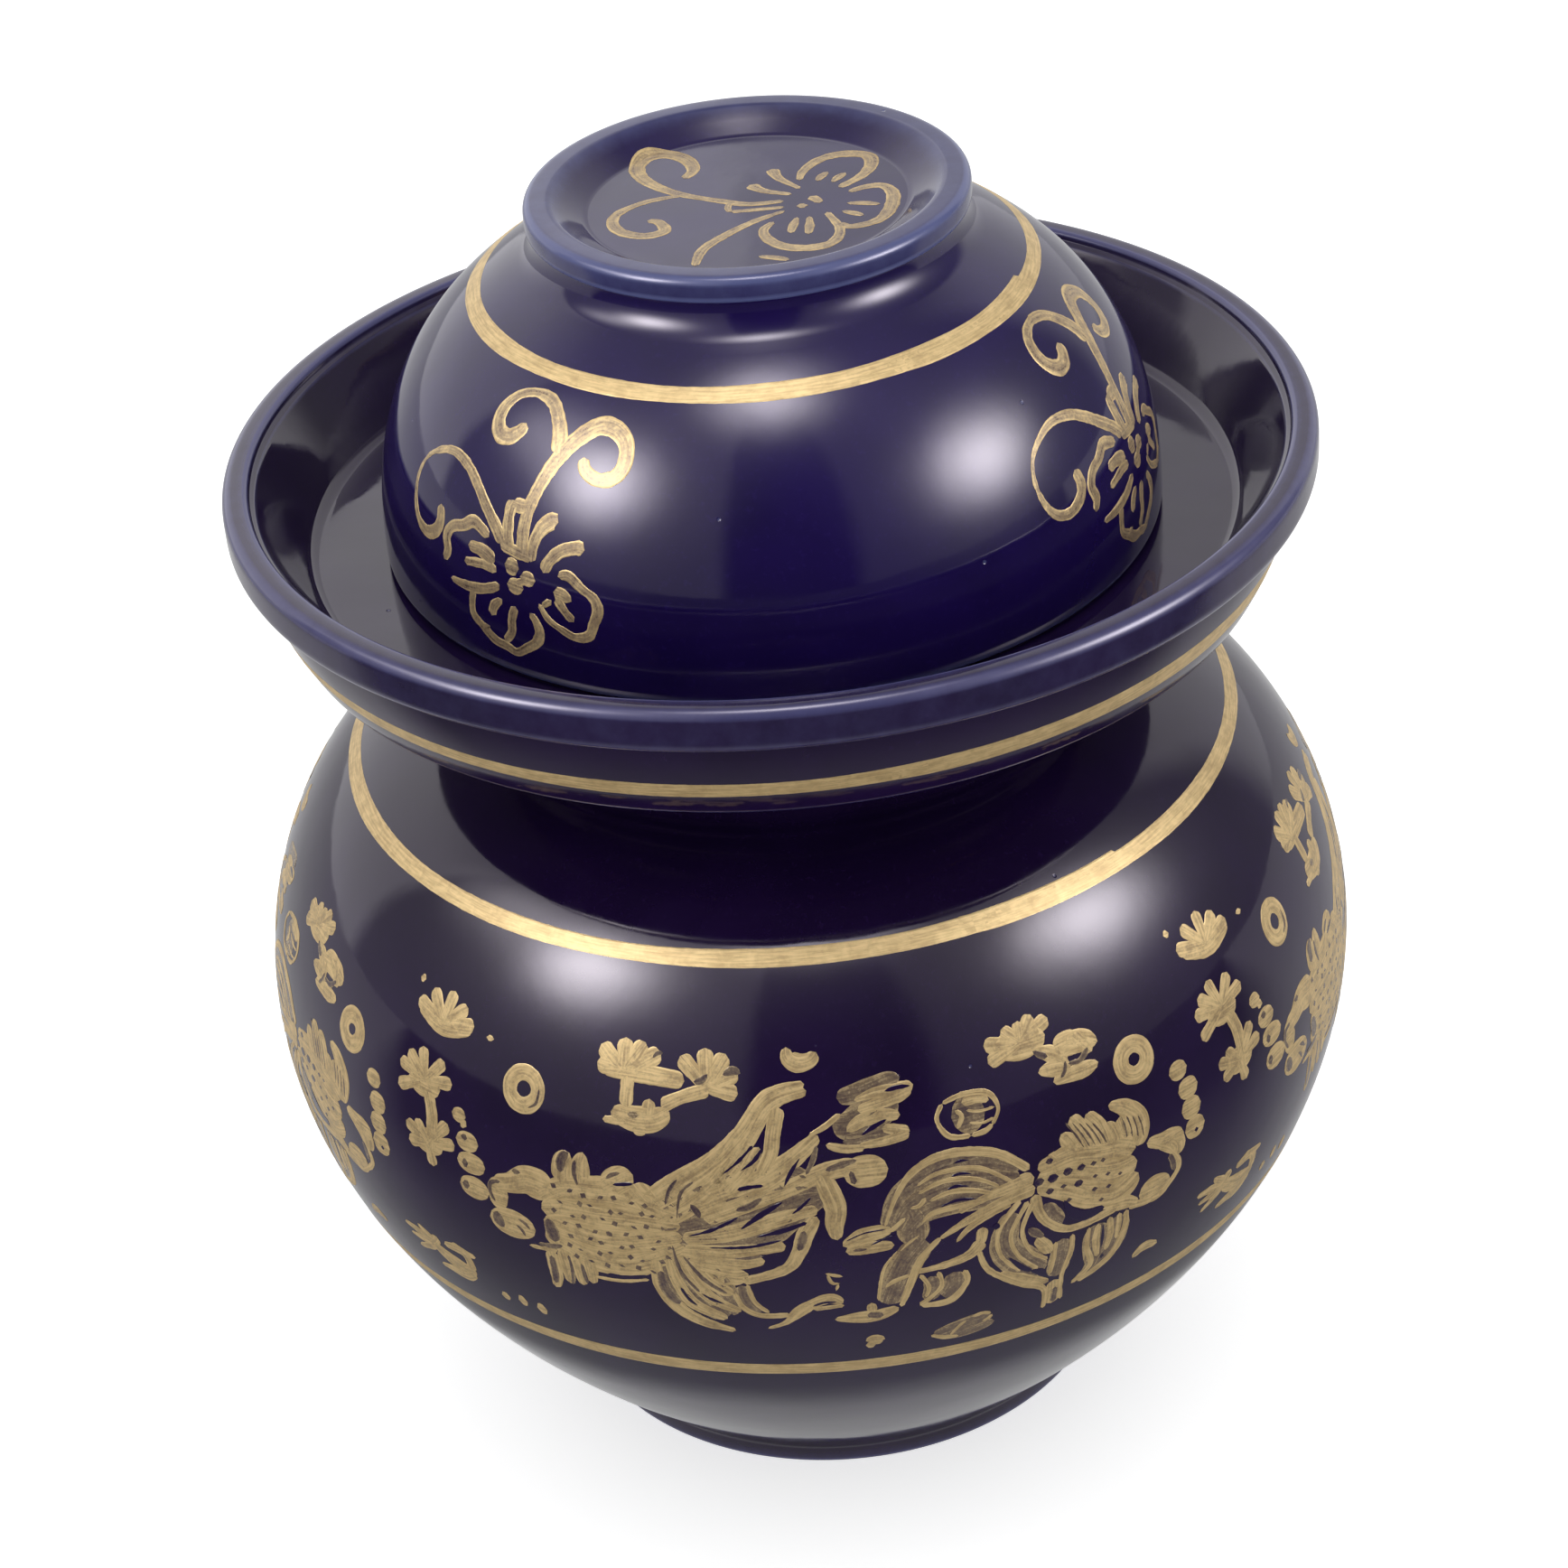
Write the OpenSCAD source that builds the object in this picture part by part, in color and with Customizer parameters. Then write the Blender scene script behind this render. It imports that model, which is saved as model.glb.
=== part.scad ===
// Water seal pickle jar: a round glazed jar with a moat round its mouth, an inverted bowl for a
// lid that stands in the moat, and a small inner lid over the mouth. Millimetres, +Z up, origin
// at the centre of the foot's underside. Every piece is turned round +Z.

/* [Belly] */
// Outer radius of the belly at its widest
belly_r = 99.5; // [92:0.5:108]
// Height of the widest place
belly_z = 88.5; // [82:0.5:96]
// How far below the widest place the side keeps upright before it draws in
belly_pull = 38.5; // [30:0.5:44]
// Thickness of the belly's wall
wall = 6.5; // [5:0.25:8]
// Height from the widest place to the top of the shoulder
shoulder_h = 56.5; // [50:0.5:62]

/* [Foot] */
// Outer radius of the foot ring
foot_r = 51.7; // [47:0.1:57]
// Height of the foot ring below the belly
foot_h = 3.8; // [2.5:0.1:6]
// Width of the foot ring's resting face
foot_w = 6; // [4:0.5:9]
// Depth of the hollow under the foot
foot_hollow = 2.6; // [1.5:0.1:4]
// Length of the straight pull of the side above the foot
foot_pull = 21.5; // [16:0.5:26]
// Angle of that pull above level
foot_pull_angle = 48; // [42:1:54]
// Thickness of the jar's floor over that hollow
floor_t = 8; // [6:0.5:11]
// Rounding of the foot's outer edges
foot_round = 1; // [0.5:0.1:1.6]

/* [Neck and mouth] */
// Outer radius of the neck under the moat
neck_r = 52.3; // [50:0.1:56]
// Inner radius of the mouth
mouth_r = 43; // [39:0.5:45]
// Radius of the outside of the collar that stands in the moat
collar_r = 49.4; // [47.5:0.1:51]
// Height of the collar above the moat's floor
collar_h = 18; // [15:0.5:20]
// Rounding of the collar's top edges
collar_round = 2; // [1:0.1:2.4]

/* [Moat] */
// Height of the moat's floor above the foot's underside
moat_z = 176; // [170:0.5:182]
// Radius of the moat's floor at its outer edge
moat_r = 82.4; // [79:0.1:84]
// Rounding where the floor meets the moat's walls
moat_fillet = 2.6; // [1.5:0.1:4]
// Thickness of the moat's floor
moat_t = 8.8; // [7:0.1:10.5]
// Radius of the flange's lower edge
flange_low_r = 86.3; // [84:0.1:88]
// Rounding of the flange's lower edge
flange_round = 1.8; // [1:0.1:2.5]
// How far the underside rises from the neck's fillet to the lower edge
underside_rise = 4.6; // [2:0.2:7]
// Radius of the fillets where the neck meets the shoulder and the flange's underside
neck_fillet = 5; // [3.5:0.5:6]
// Swell of the flange's outer side between its edges
flange_swell = 0.9; // [0:0.1:1.8]

/* [Rim] */
// Outer radius of the rim's bead
rim_r = 95; // [93:0.1:98]
// Height of the bead
bead_h = 8.2; // [7:0.1:9.5]
// Width of the bead
bead_w = 4.7; // [4:0.1:5.5]
// Height of the rim above the moat's floor
rim_h = 15.8; // [14:0.1:18]
// How far the flange's side lies inside the bead
groove_in = 3.9; // [3:0.1:4.4]
// Depth of the small ledge inside the bead
ledge_h = 1.5; // [1:0.1:2.2]
// Width of that ledge
ledge_w = 0.9; // [0.6:0.1:1.4]

/* [Bowl lid] */
// Outer radius of the bowl's lip
lid_r = 68; // [65:0.5:71]
// Height of the bowl's straight lip before its side draws in
lid_lip = 2.6; // [1.5:0.1:4]
// Height of the bowl's crown above that lip
lid_h = 56; // [53:0.5:59]
// Fullness of the bowl's side: 2 is an ellipse, more is squarer
lid_full = 2.35; // [2.2:0.05:2.5]
// Thickness of the bowl's wall
lid_wall = 5.8; // [4.5:0.1:7]
// Rounding of the lip's edges
lid_round = 2; // [1:0.1:2.2]
// Thickness of the bowl's crown
crown_t = 6.5; // [5.5:0.1:8]
// Outer radius of the bowl's foot ring, now on top
ring_r = 37.8; // [35:0.1:40]
// Width of that ring's top
ring_w = 5.6; // [4.5:0.1:7]
// Height of the ring's top above the crown of the bowl's curve
ring_rise = 3.4; // [3:0.1:4.4]
// Height of the ring's outer face
ring_h = 4.6; // [3.8:0.1:4.9]
// How far the neck under that face lies inside it
ring_under = 1.4; // [0.8:0.1:2]
// Radius of the cove between that neck and the bowl
cove_r = 6; // [4.5:0.1:6.6]
// Depth of the recess inside the ring
recess_d = 3.7; // [2.5:0.1:4.5]
// Width of the recess's sloped side
recess_slope = 4.6; // [3:0.1:6]
// Rounding of the ring's edges
ring_round = 1.5; // [0.8:0.1:2]

/* [Inner lid] */
// Thickness of the inner lid's plate
plate_t = 4; // [3:0.1:5]
// How far the plate lies inside the collar's outer edge
plate_in = 0.6; // [0.2:0.1:1]
// Rounding of the plate's edges
plate_round = 1.2; // [0.6:0.1:1.4]
// Depth of the spigot in the mouth
spigot_h = 5; // [4:0.1:6]
// Clearance between the spigot and the mouth, on the radius
spigot_gap = 0.8; // [0.5:0.1:1.2]
// Thickness of the spigot's ring
spigot_t = 5; // [4:0.1:6]
// Radius of the knob
knob_r = 9.5; // [8:0.1:11]
// Height of the knob
knob_h = 8.5; // [7:0.1:10]
// Radius of the knob's waist
knob_waist = 6; // [5:0.1:7]
// Rounding of the knob's edges
knob_round = 2.4; // [1.6:0.1:3]

/* [Gold bands] */
// Thickness of a fired gold band, sunk in the glaze
band_t = 0.4; // [0.3:0.05:0.6]
// How far a band stands proud of the glaze
band_proud = 0.1; // [0.05:0.01:0.15]
// Width of the lid's band
lid_band_w = 3.2; // [2.4:0.1:4]
// Radius of the lid's band
lid_band_r = 48.3; // [46:0.1:51]
// Width of the moat's band
moat_band_w = 3.2; // [2.4:0.1:4]
// Height of the moat's band above the flange's lower edge
moat_band_z = 5.4; // [4:0.1:6.5]
// Width of the shoulder's band
shoulder_band_w = 3; // [2:0.1:4]
// Height of the shoulder's band above the widest place
shoulder_band_z = 46.2; // [42:0.1:49]
// Width of the lower band
low_band_w = 1.8; // [1.2:0.1:2.6]
// Height of the lower band above the foot
low_band_z = 54.5; // [48:0.1:60]

/* [Smoothness] */
// Facets round the turned pieces in the preview
round_fn = 144; // [96:12:240]
// Steps along each long curve of a profile
curve_steps = 24; // [16:2:28]

/* [Hidden] */

// Colours of the two glazes and the gold
jar_blue = [0.10, 0.05, 0.22];
lid_blue = [0.09, 0.04, 0.30];
gold = [0.73, 0.62, 0.37];

// Steps on a small rounding
arc_steps = 5;
// A slight overrun of a band's cut past the glaze
cut_over = 1;

rim_z = moat_z + rim_h;
bead_z = rim_z - bead_h;
collar_z = moat_z + collar_h;
shoulder_z = belly_z + shoulder_h;
flange_low_z = moat_z - moat_t;
flange_top_r = rim_r - groove_in;
lip_r = rim_r - bead_w;
lid_z = moat_z + lid_lip;
ring_top = lid_z + lid_h + ring_rise;

// Points of a round arc from angle a to angle b round (x, y)
function arc(x, y, r, a, b, n = arc_steps) =
    [for (i = [0:n]) let (t = a + (b - a) * i / n) [x + r * cos(t), y + r * sin(t)]];

// Point on a cubic curve through p and s, pulled towards q and u
function cubic(p, q, u, s, t) =
    p * pow(1 - t, 3) + q * 3 * t * pow(1 - t, 2) + u * 3 * t * t * (1 - t) + s * pow(t, 3);

// Point on a quarter of a full oval, from the side (t = 0) to the crown (t = 1)
function oval(cx, cz, rx, rz, n, t) =
    [cx + rx * pow(cos(90 * t), 2 / n), cz + rz * pow(sin(90 * t), 2 / n)];

// Lower side of the belly from the widest place (t = 0) to the foot (t = 1), with its wall drawn in
function lower_side(t, inset = 0) =
    let (foot = [foot_r - inset, foot_h + inset * (floor_t - foot_h + foot_hollow) / wall],
         pull = foot_pull * [cos(foot_pull_angle), sin(foot_pull_angle)])
    cubic([belly_r - inset, belly_z], [belly_r - inset, belly_z - belly_pull], foot + pull, foot, t);

// Shoulder from the widest place (t = 0) to the neck (t = 1), with its wall drawn in
function shoulder(t, inset = 0) =
    let (top_r = inset > 0 ? mouth_r : neck_r)
    oval(top_r, belly_z, belly_r - inset - top_r, shoulder_h - inset, 2, t);

// Lean of the flange's side off upright at its lower edge, where its rounding ends
flange_lean = atan((flange_top_r - flange_low_r + 4 * flange_swell) / (bead_z - flange_low_z));

// Outer side of the flange from its lower edge (t = 0) to the groove under the bead (t = 1)
function flange_side(t) =
    let (low = [flange_low_r - flange_round * (1 - cos(flange_lean)),
                flange_low_z + flange_round * (1 - sin(flange_lean))],
         top = [flange_top_r, bead_z])
    low + (top - low) * t + [flange_swell * 4 * t * (1 - t), 0];

// Side of the bowl lid from its lip (t = 0) to its crown (t = 1)
function lid_side(t) = oval(0, lid_z, lid_r, lid_h, lid_full, t);

// Height and slope of the bowl's side at a radius
function lid_side_z(r) = lid_z + lid_h * pow(1 - pow(r / lid_r, lid_full), 1 / lid_full);
function lid_slope(r) = atan((lid_side_z(r - 0.1) - lid_side_z(r + 0.1)) / 0.2);

// Curve parameter where a side reaches a height or a radius
function shoulder_t(z) = asin((z - belly_z) / shoulder_h) / 90;
function shoulder_end() = acos(neck_fillet / (belly_r - neck_r)) / 90;
function lid_t(r) = acos(pow(r / lid_r, lid_full / 2)) / 90;
function lower_t(z, a = 0, b = 1, n = 24) =
    n == 0 ? (a + b) / 2
    : lower_side((a + b) / 2)[1] > z ? lower_t(z, (a + b) / 2, b, n - 1)
    : lower_t(z, a, (a + b) / 2, n - 1);

// Outline of a band on the stretch between points p and q of a side, as deep as it says on the
// glaze's side and as high as it says on the open side
function band_outline(p, q, deep, high) =
    let (along = (q - p) / norm(q - p), out = [along[1], -along[0]])
    [p - out * deep, p + out * high, q + out * high, q - out * deep];

module turned(outline) {
    rotate_extrude($fn = round_fn)
        polygon(outline);
}

// Each band lies on the chord between two points of its side, so that it and its cut agree
shoulder_a = shoulder(shoulder_t(belly_z + shoulder_band_z - shoulder_band_w * 0.4));
shoulder_b = shoulder_a + shoulder_band_w * side_dir(shoulder_a,
    shoulder(shoulder_t(belly_z + shoulder_band_z + shoulder_band_w * 0.4)));
low_b = lower_side(lower_t(foot_h + low_band_z + low_band_w / 2));
low_a = low_b + low_band_w * side_dir(low_b,
    lower_side(lower_t(foot_h + low_band_z - low_band_w / 2)));
moat_span = bead_z - flange_low_z - flange_round;
moat_a = flange_side((moat_band_z - moat_band_w / 2) / moat_span);
moat_b = flange_side((moat_band_z + moat_band_w / 2) / moat_span);
lid_a = lid_side(lid_t(lid_band_r + lid_band_w * 0.4));
lid_b = lid_a + lid_band_w * side_dir(lid_a, lid_side(lid_t(lid_band_r - lid_band_w * 0.4)));

function side_dir(p, q) = (q - p) / norm(q - p);

module band(p, q) {
    turned(band_outline(p, q, band_t - band_proud, band_proud));
}

module band_cut(p, q) {
    turned(band_outline(p, q, band_t - band_proud, cut_over));
}

// One fired piece: foot, belly, shoulder, neck, collar, moat and rim
module jar_body() {
    foot_in = foot_r - foot_w;
    foot = concat([[0, foot_hollow], [foot_in - foot_hollow, foot_hollow], [foot_in, 0]],
        arc(foot_r - foot_round, foot_round, foot_round, -90, 0));
    belly_low = [for (i = [curve_steps:-1:1]) lower_side(i / curve_steps)];
    belly_top = [for (i = [0:curve_steps - 1]) shoulder(shoulder_end() * i / curve_steps)];
    under_z = flange_low_z - underside_rise;
    under_lean = atan(underside_rise / (flange_low_r - neck_r - neck_fillet));
    neck = concat(
        arc(neck_r + neck_fillet, shoulder_z + neck_fillet, neck_fillet, 270, 180),
        arc(neck_r + neck_fillet, under_z - neck_fillet, neck_fillet, 180, 90 + under_lean));
    flange = concat(
        arc(flange_low_r - flange_round, flange_low_z + flange_round, flange_round,
            under_lean - 90, -flange_lean),
        [for (i = [1:curve_steps / 2]) flange_side(2 * i / curve_steps)]);
    // The bead's lower outside, upper outside and inner edge
    bead_low = bead_h * 0.32;
    bead_top = bead_w * 0.42;
    bead_in = bead_w * 0.2;
    bead = concat(
        arc(rim_r - bead_low, bead_z + bead_low, bead_low, -80, 0),
        arc(rim_r - bead_top, rim_z - bead_top, bead_top, 0, 90),
        arc(lip_r + bead_in, rim_z - bead_in, bead_in, 90, 180));
    ledge_in = lip_r - ledge_w;
    ledge_z = rim_z - ledge_h;
    wall_lean = atan((ledge_in - moat_r) / (ledge_z - moat_z));
    moat = concat(
        [[lip_r, ledge_z], [ledge_in, ledge_z - ledge_w / 3]],
        arc(moat_r - moat_fillet, moat_z + moat_fillet, moat_fillet, -wall_lean, -90),
        arc(collar_r + moat_fillet, moat_z + moat_fillet, moat_fillet, -90, -180));
    collar = concat(
        arc(collar_r - collar_round, collar_z - collar_round, collar_round, 0, 90),
        arc(mouth_r + collar_round, collar_z - collar_round, collar_round, 90, 180));
    cavity = concat(
        [for (i = [curve_steps:-1:0]) shoulder(i / curve_steps, wall)],
        [for (i = [1:curve_steps]) lower_side(i / curve_steps, wall)],
        [[0, foot_hollow + floor_t]]);
    color(jar_blue)
        difference() {
            turned(concat(foot, belly_low, belly_top, neck, flange, bead, moat, collar, cavity));
            band_cut(moat_a, moat_b);
            band_cut(shoulder_a, shoulder_b);
            band_cut(low_a, low_b);
        }
}

// Inverted bowl: its lip stands on the moat's floor and its own foot ring is on top
module bowl_lid() {
    in_r = lid_r - lid_wall;
    lip = concat(
        arc(in_r + lid_round, moat_z + lid_round, lid_round, 180, 270),
        arc(lid_r - lid_round, moat_z + lid_round, lid_round, 270, 360));
    neck_in = ring_r - ring_under;
    cove_turn = 90 - lid_slope(neck_in + cove_r / 2);
    cove_end = neck_in + cove_r * (1 - cos(cove_turn));
    cove_z = lid_side_z(cove_end) + cove_r * sin(cove_turn);
    side = [for (i = [0:curve_steps - 1]) lid_side(lid_t(cove_end) * i / curve_steps)];
    cove = arc(neck_in + cove_r, cove_z, cove_r, 180 + cove_turn, 180);
    face_z = ring_top - ring_h;
    face_round = ring_round * 0.6;
    ring = concat(
        [[neck_in, face_z]],
        arc(ring_r - face_round, face_z + face_round, face_round, -90, 0),
        arc(ring_r - ring_round, ring_top - ring_round, ring_round, 0, 90),
        arc(ring_r - ring_w + ring_round, ring_top - ring_round, ring_round, 90, 130));
    recess_z = ring_top - recess_d;
    recess = [[ring_r - ring_w - recess_slope, recess_z], [0, recess_z]];
    crown_z = recess_z - crown_t;
    inside = [for (i = [curve_steps:-1:0])
        oval(0, lid_z, in_r, crown_z - lid_z, lid_full, i / curve_steps)];
    color(lid_blue)
        difference() {
            turned(concat(lip, side, cove, ring, recess, inside));
            band_cut(lid_a, lid_b);
        }
}

// Small plate with a knob, whose spigot drops into the mouth
module inner_lid() {
    plate_r = collar_r - plate_in;
    spigot_r = mouth_r - spigot_gap;
    spigot_z = collar_z - spigot_h;
    plate_z = collar_z + plate_t;
    knob_z = plate_z + knob_h;
    waist = 2;
    spigot = [[0, collar_z], [spigot_r - spigot_t, collar_z], [spigot_r - spigot_t, spigot_z],
              [spigot_r - 1, spigot_z], [spigot_r, spigot_z + 1], [spigot_r, collar_z]];
    plate = concat(
        arc(plate_r - plate_round, collar_z + plate_round, plate_round, -90, 0),
        arc(plate_r - plate_round, plate_z - plate_round, plate_round, 0, 90));
    knob = concat(
        arc(knob_waist + waist, plate_z + waist, waist, 270, 180),
        arc(knob_r - knob_round, knob_z - knob_round, knob_round, -60, 70),
        [[0, knob_z]]);
    color(jar_blue)
        turned(concat(spigot, plate, knob));
}

module lid_gold_band() {
    color(gold) band(lid_a, lid_b);
}

module moat_gold_band() {
    color(gold) band(moat_a, moat_b);
}

module shoulder_gold_band() {
    color(gold) band(shoulder_a, shoulder_b);
}

module lower_gold_band() {
    color(gold) band(low_a, low_b);
}

jar_body();
bowl_lid();
inner_lid();
lid_gold_band();
moat_gold_band();
shoulder_gold_band();
lower_gold_band();
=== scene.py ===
import math

import bmesh
import bpy
import numpy as np
from mathutils import Matrix, Vector


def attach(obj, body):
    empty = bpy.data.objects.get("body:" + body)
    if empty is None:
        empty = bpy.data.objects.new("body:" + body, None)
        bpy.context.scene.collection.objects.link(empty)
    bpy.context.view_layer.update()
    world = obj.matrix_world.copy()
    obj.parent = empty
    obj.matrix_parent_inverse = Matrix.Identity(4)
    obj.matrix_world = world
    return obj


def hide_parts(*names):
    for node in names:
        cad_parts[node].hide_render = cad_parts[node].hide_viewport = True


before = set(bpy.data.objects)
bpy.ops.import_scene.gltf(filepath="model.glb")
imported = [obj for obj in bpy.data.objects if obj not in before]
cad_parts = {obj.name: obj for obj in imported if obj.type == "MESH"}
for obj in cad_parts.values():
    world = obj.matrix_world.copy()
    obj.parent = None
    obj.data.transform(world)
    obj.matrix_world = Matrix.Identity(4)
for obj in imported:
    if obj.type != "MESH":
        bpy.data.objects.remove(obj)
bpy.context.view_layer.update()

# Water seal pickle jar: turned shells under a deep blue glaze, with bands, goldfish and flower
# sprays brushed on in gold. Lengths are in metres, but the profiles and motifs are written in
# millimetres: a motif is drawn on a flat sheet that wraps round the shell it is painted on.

bl_info = {
    "name": "Water Seal Pickle Jar",
    "version": (1, 0, 0),
    "blender": (4, 5, 0),
    "location": "3D View > Sidebar > Pickle Jar",
    "description": "Glazed turned shells with brushed gold bands, goldfish and flower sprays",
    "category": "Object",
}

MM = 0.001
# Radius at which the motifs of the belly and of the bowl lid are drawn flat, in millimetres
BELLY_SHEET = 99.5
LID_SHEET = 60.0


# Profiles, in millimetres

def arc(x, y, r, a, b, n=10):
    """Points of a round arc from angle a to angle b round (x, y)."""
    turn = np.radians(np.linspace(a, b, n + 1))
    return [(x + r * math.cos(t), y + r * math.sin(t)) for t in turn]


def cubic(p, q, u, s, t):
    """Point on a cubic curve through p and s, pulled towards q and u."""
    p, q, u, s = map(np.array, (p, q, u, s))
    return p * (1 - t) ** 3 + q * 3 * t * (1 - t) ** 2 + u * 3 * t * t * (1 - t) + s * t ** 3


def oval(cx, cz, rx, rz, full, t):
    """Point on a quarter of a full oval, from the side (t = 0) to the crown (t = 1)."""
    a = math.radians(90 * t)
    return (cx + rx * max(math.cos(a), 0) ** (2 / full), cz + rz * math.sin(a) ** (2 / full))


class JarForm:
    """Sizes of the jar body's and the lids' profiles, the same as in the construction."""
    belly_r, belly_z, belly_pull, wall, shoulder_h = 99.5, 88.5, 38.5, 6.5, 56.5
    foot_r, foot_h, foot_w, foot_hollow, foot_pull = 51.7, 3.8, 6.0, 2.6, 21.5
    foot_pull_angle, floor_t, foot_round = 48.0, 8.0, 1.0
    neck_r, mouth_r, collar_r, collar_h, collar_round = 52.3, 43.0, 49.4, 18.0, 2.0
    moat_z, moat_r, moat_fillet, moat_t = 176.0, 82.4, 2.6, 8.8
    flange_low_r, flange_round, underside_rise = 86.3, 1.8, 4.6
    neck_fillet, flange_swell = 5.0, 0.9
    rim_r, bead_h, bead_w, rim_h, groove_in = 95.0, 8.2, 4.7, 15.8, 3.9
    ledge_h, ledge_w = 1.5, 0.9
    lid_r, lid_lip, lid_h, lid_full, lid_wall, lid_round = 68.0, 2.6, 56.0, 2.35, 5.8, 2.0
    crown_t, ring_r, ring_w, ring_rise, ring_h = 6.5, 37.8, 5.6, 3.4, 4.6
    ring_under, cove_r, recess_d, recess_slope, ring_round = 1.4, 6.0, 3.7, 4.6, 1.5
    plate_t, plate_in, plate_round, spigot_h, spigot_gap, spigot_t = 4.0, 0.6, 1.2, 5.0, 0.8, 5.0
    knob_r, knob_h, knob_waist, knob_round = 9.5, 8.5, 6.0, 2.4
    moat_band_z, shoulder_band_z, low_band_z, lid_band_r = 5.4, 46.2, 54.5, 48.3

    rim_z = moat_z + rim_h
    bead_z = rim_z - bead_h
    collar_z = moat_z + collar_h
    shoulder_z = belly_z + shoulder_h
    flange_low_z = moat_z - moat_t
    flange_top_r = rim_r - groove_in
    lip_r = rim_r - bead_w
    lid_z = moat_z + lid_lip
    ring_top = lid_z + lid_h + ring_rise
    recess_z = ring_top - recess_d


F = JarForm
FLANGE_LEAN = math.degrees(math.atan((F.flange_top_r - F.flange_low_r + 4 * F.flange_swell)
                                     / (F.bead_z - F.flange_low_z)))


def lower_side(t, inset=0.0):
    """Lower side of the belly from the widest place (t = 0) to the foot (t = 1)."""
    foot = np.array([F.foot_r - inset,
                     F.foot_h + inset * (F.floor_t - F.foot_h + F.foot_hollow) / F.wall])
    a = math.radians(F.foot_pull_angle)
    pull = foot + F.foot_pull * np.array([math.cos(a), math.sin(a)])
    side = F.belly_r - inset
    return cubic((side, F.belly_z), (side, F.belly_z - F.belly_pull), pull, foot, t)


def shoulder(t, inset=0.0):
    """Shoulder from the widest place (t = 0) to the neck (t = 1)."""
    top_r = F.mouth_r if inset > 0 else F.neck_r
    return oval(top_r, F.belly_z, F.belly_r - inset - top_r, F.shoulder_h - inset, 2, t)


def flange_side(t):
    """Outer side of the flange from its lower edge (t = 0) to the groove under the bead."""
    a = math.radians(FLANGE_LEAN)
    low = np.array([F.flange_low_r - F.flange_round * (1 - math.cos(a)),
                    F.flange_low_z + F.flange_round * (1 - math.sin(a))])
    top = np.array([F.flange_top_r, F.bead_z])
    return low + (top - low) * t + np.array([F.flange_swell * 4 * t * (1 - t), 0])


def lid_side(t):
    """Side of the bowl lid from its lip (t = 0) to its crown (t = 1)."""
    return oval(0, F.lid_z, F.lid_r, F.lid_h, F.lid_full, t)


def lid_side_z(r):
    return F.lid_z + F.lid_h * (1 - (r / F.lid_r) ** F.lid_full) ** (1 / F.lid_full)


def lid_t(r):
    return math.degrees(math.acos((r / F.lid_r) ** (F.lid_full / 2))) / 90


def jar_outline():
    """Profile of the jar body from the middle of its underside to the middle of its floor."""
    foot_in = F.foot_r - F.foot_w
    foot = [(0, F.foot_hollow), (foot_in - F.foot_hollow, F.foot_hollow), (foot_in, 0)] \
        + arc(F.foot_r - F.foot_round, F.foot_round, F.foot_round, -90, 0)
    end = math.degrees(math.acos(F.neck_fillet / (F.belly_r - F.neck_r))) / 90
    belly = [lower_side(t) for t in np.linspace(1, 0, 97)[:-1]] \
        + [shoulder(t) for t in np.linspace(0, end, 97)[:-1]]
    under_z = F.flange_low_z - F.underside_rise
    lean = math.degrees(math.atan(F.underside_rise / (F.flange_low_r - F.neck_r - F.neck_fillet)))
    neck = arc(F.neck_r + F.neck_fillet, F.shoulder_z + F.neck_fillet, F.neck_fillet, 270, 180) \
        + arc(F.neck_r + F.neck_fillet, under_z - F.neck_fillet, F.neck_fillet, 180, 90 + lean)
    flange = arc(F.flange_low_r - F.flange_round, F.flange_low_z + F.flange_round,
                 F.flange_round, lean - 90, -FLANGE_LEAN) \
        + [flange_side(t) for t in np.linspace(0, 1, 25)[1:]]
    low, top, inner = F.bead_h * 0.32, F.bead_w * 0.42, F.bead_w * 0.2
    bead = arc(F.rim_r - low, F.bead_z + low, low, -80, 0) \
        + arc(F.rim_r - top, F.rim_z - top, top, 0, 90) \
        + arc(F.lip_r + inner, F.rim_z - inner, inner, 90, 180)
    ledge_in, ledge_z = F.lip_r - F.ledge_w, F.rim_z - F.ledge_h
    lean_in = math.degrees(math.atan((ledge_in - F.moat_r) / (ledge_z - F.moat_z)))
    moat = [(F.lip_r, ledge_z), (ledge_in, ledge_z - F.ledge_w / 3)] \
        + arc(F.moat_r - F.moat_fillet, F.moat_z + F.moat_fillet, F.moat_fillet, -lean_in, -90) \
        + arc(F.collar_r + F.moat_fillet, F.moat_z + F.moat_fillet, F.moat_fillet, -90, -180)
    collar = arc(F.collar_r - F.collar_round, F.collar_z - F.collar_round, F.collar_round, 0, 90) \
        + arc(F.mouth_r + F.collar_round, F.collar_z - F.collar_round, F.collar_round, 90, 180)
    cavity = [shoulder(t, F.wall) for t in np.linspace(1, 0, 49)] \
        + [lower_side(t, F.wall) for t in np.linspace(0, 1, 49)[1:]] \
        + [(0, F.foot_hollow + F.floor_t)]
    return np.array(foot + belly + neck + flange + bead + moat + collar + cavity, float)


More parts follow.
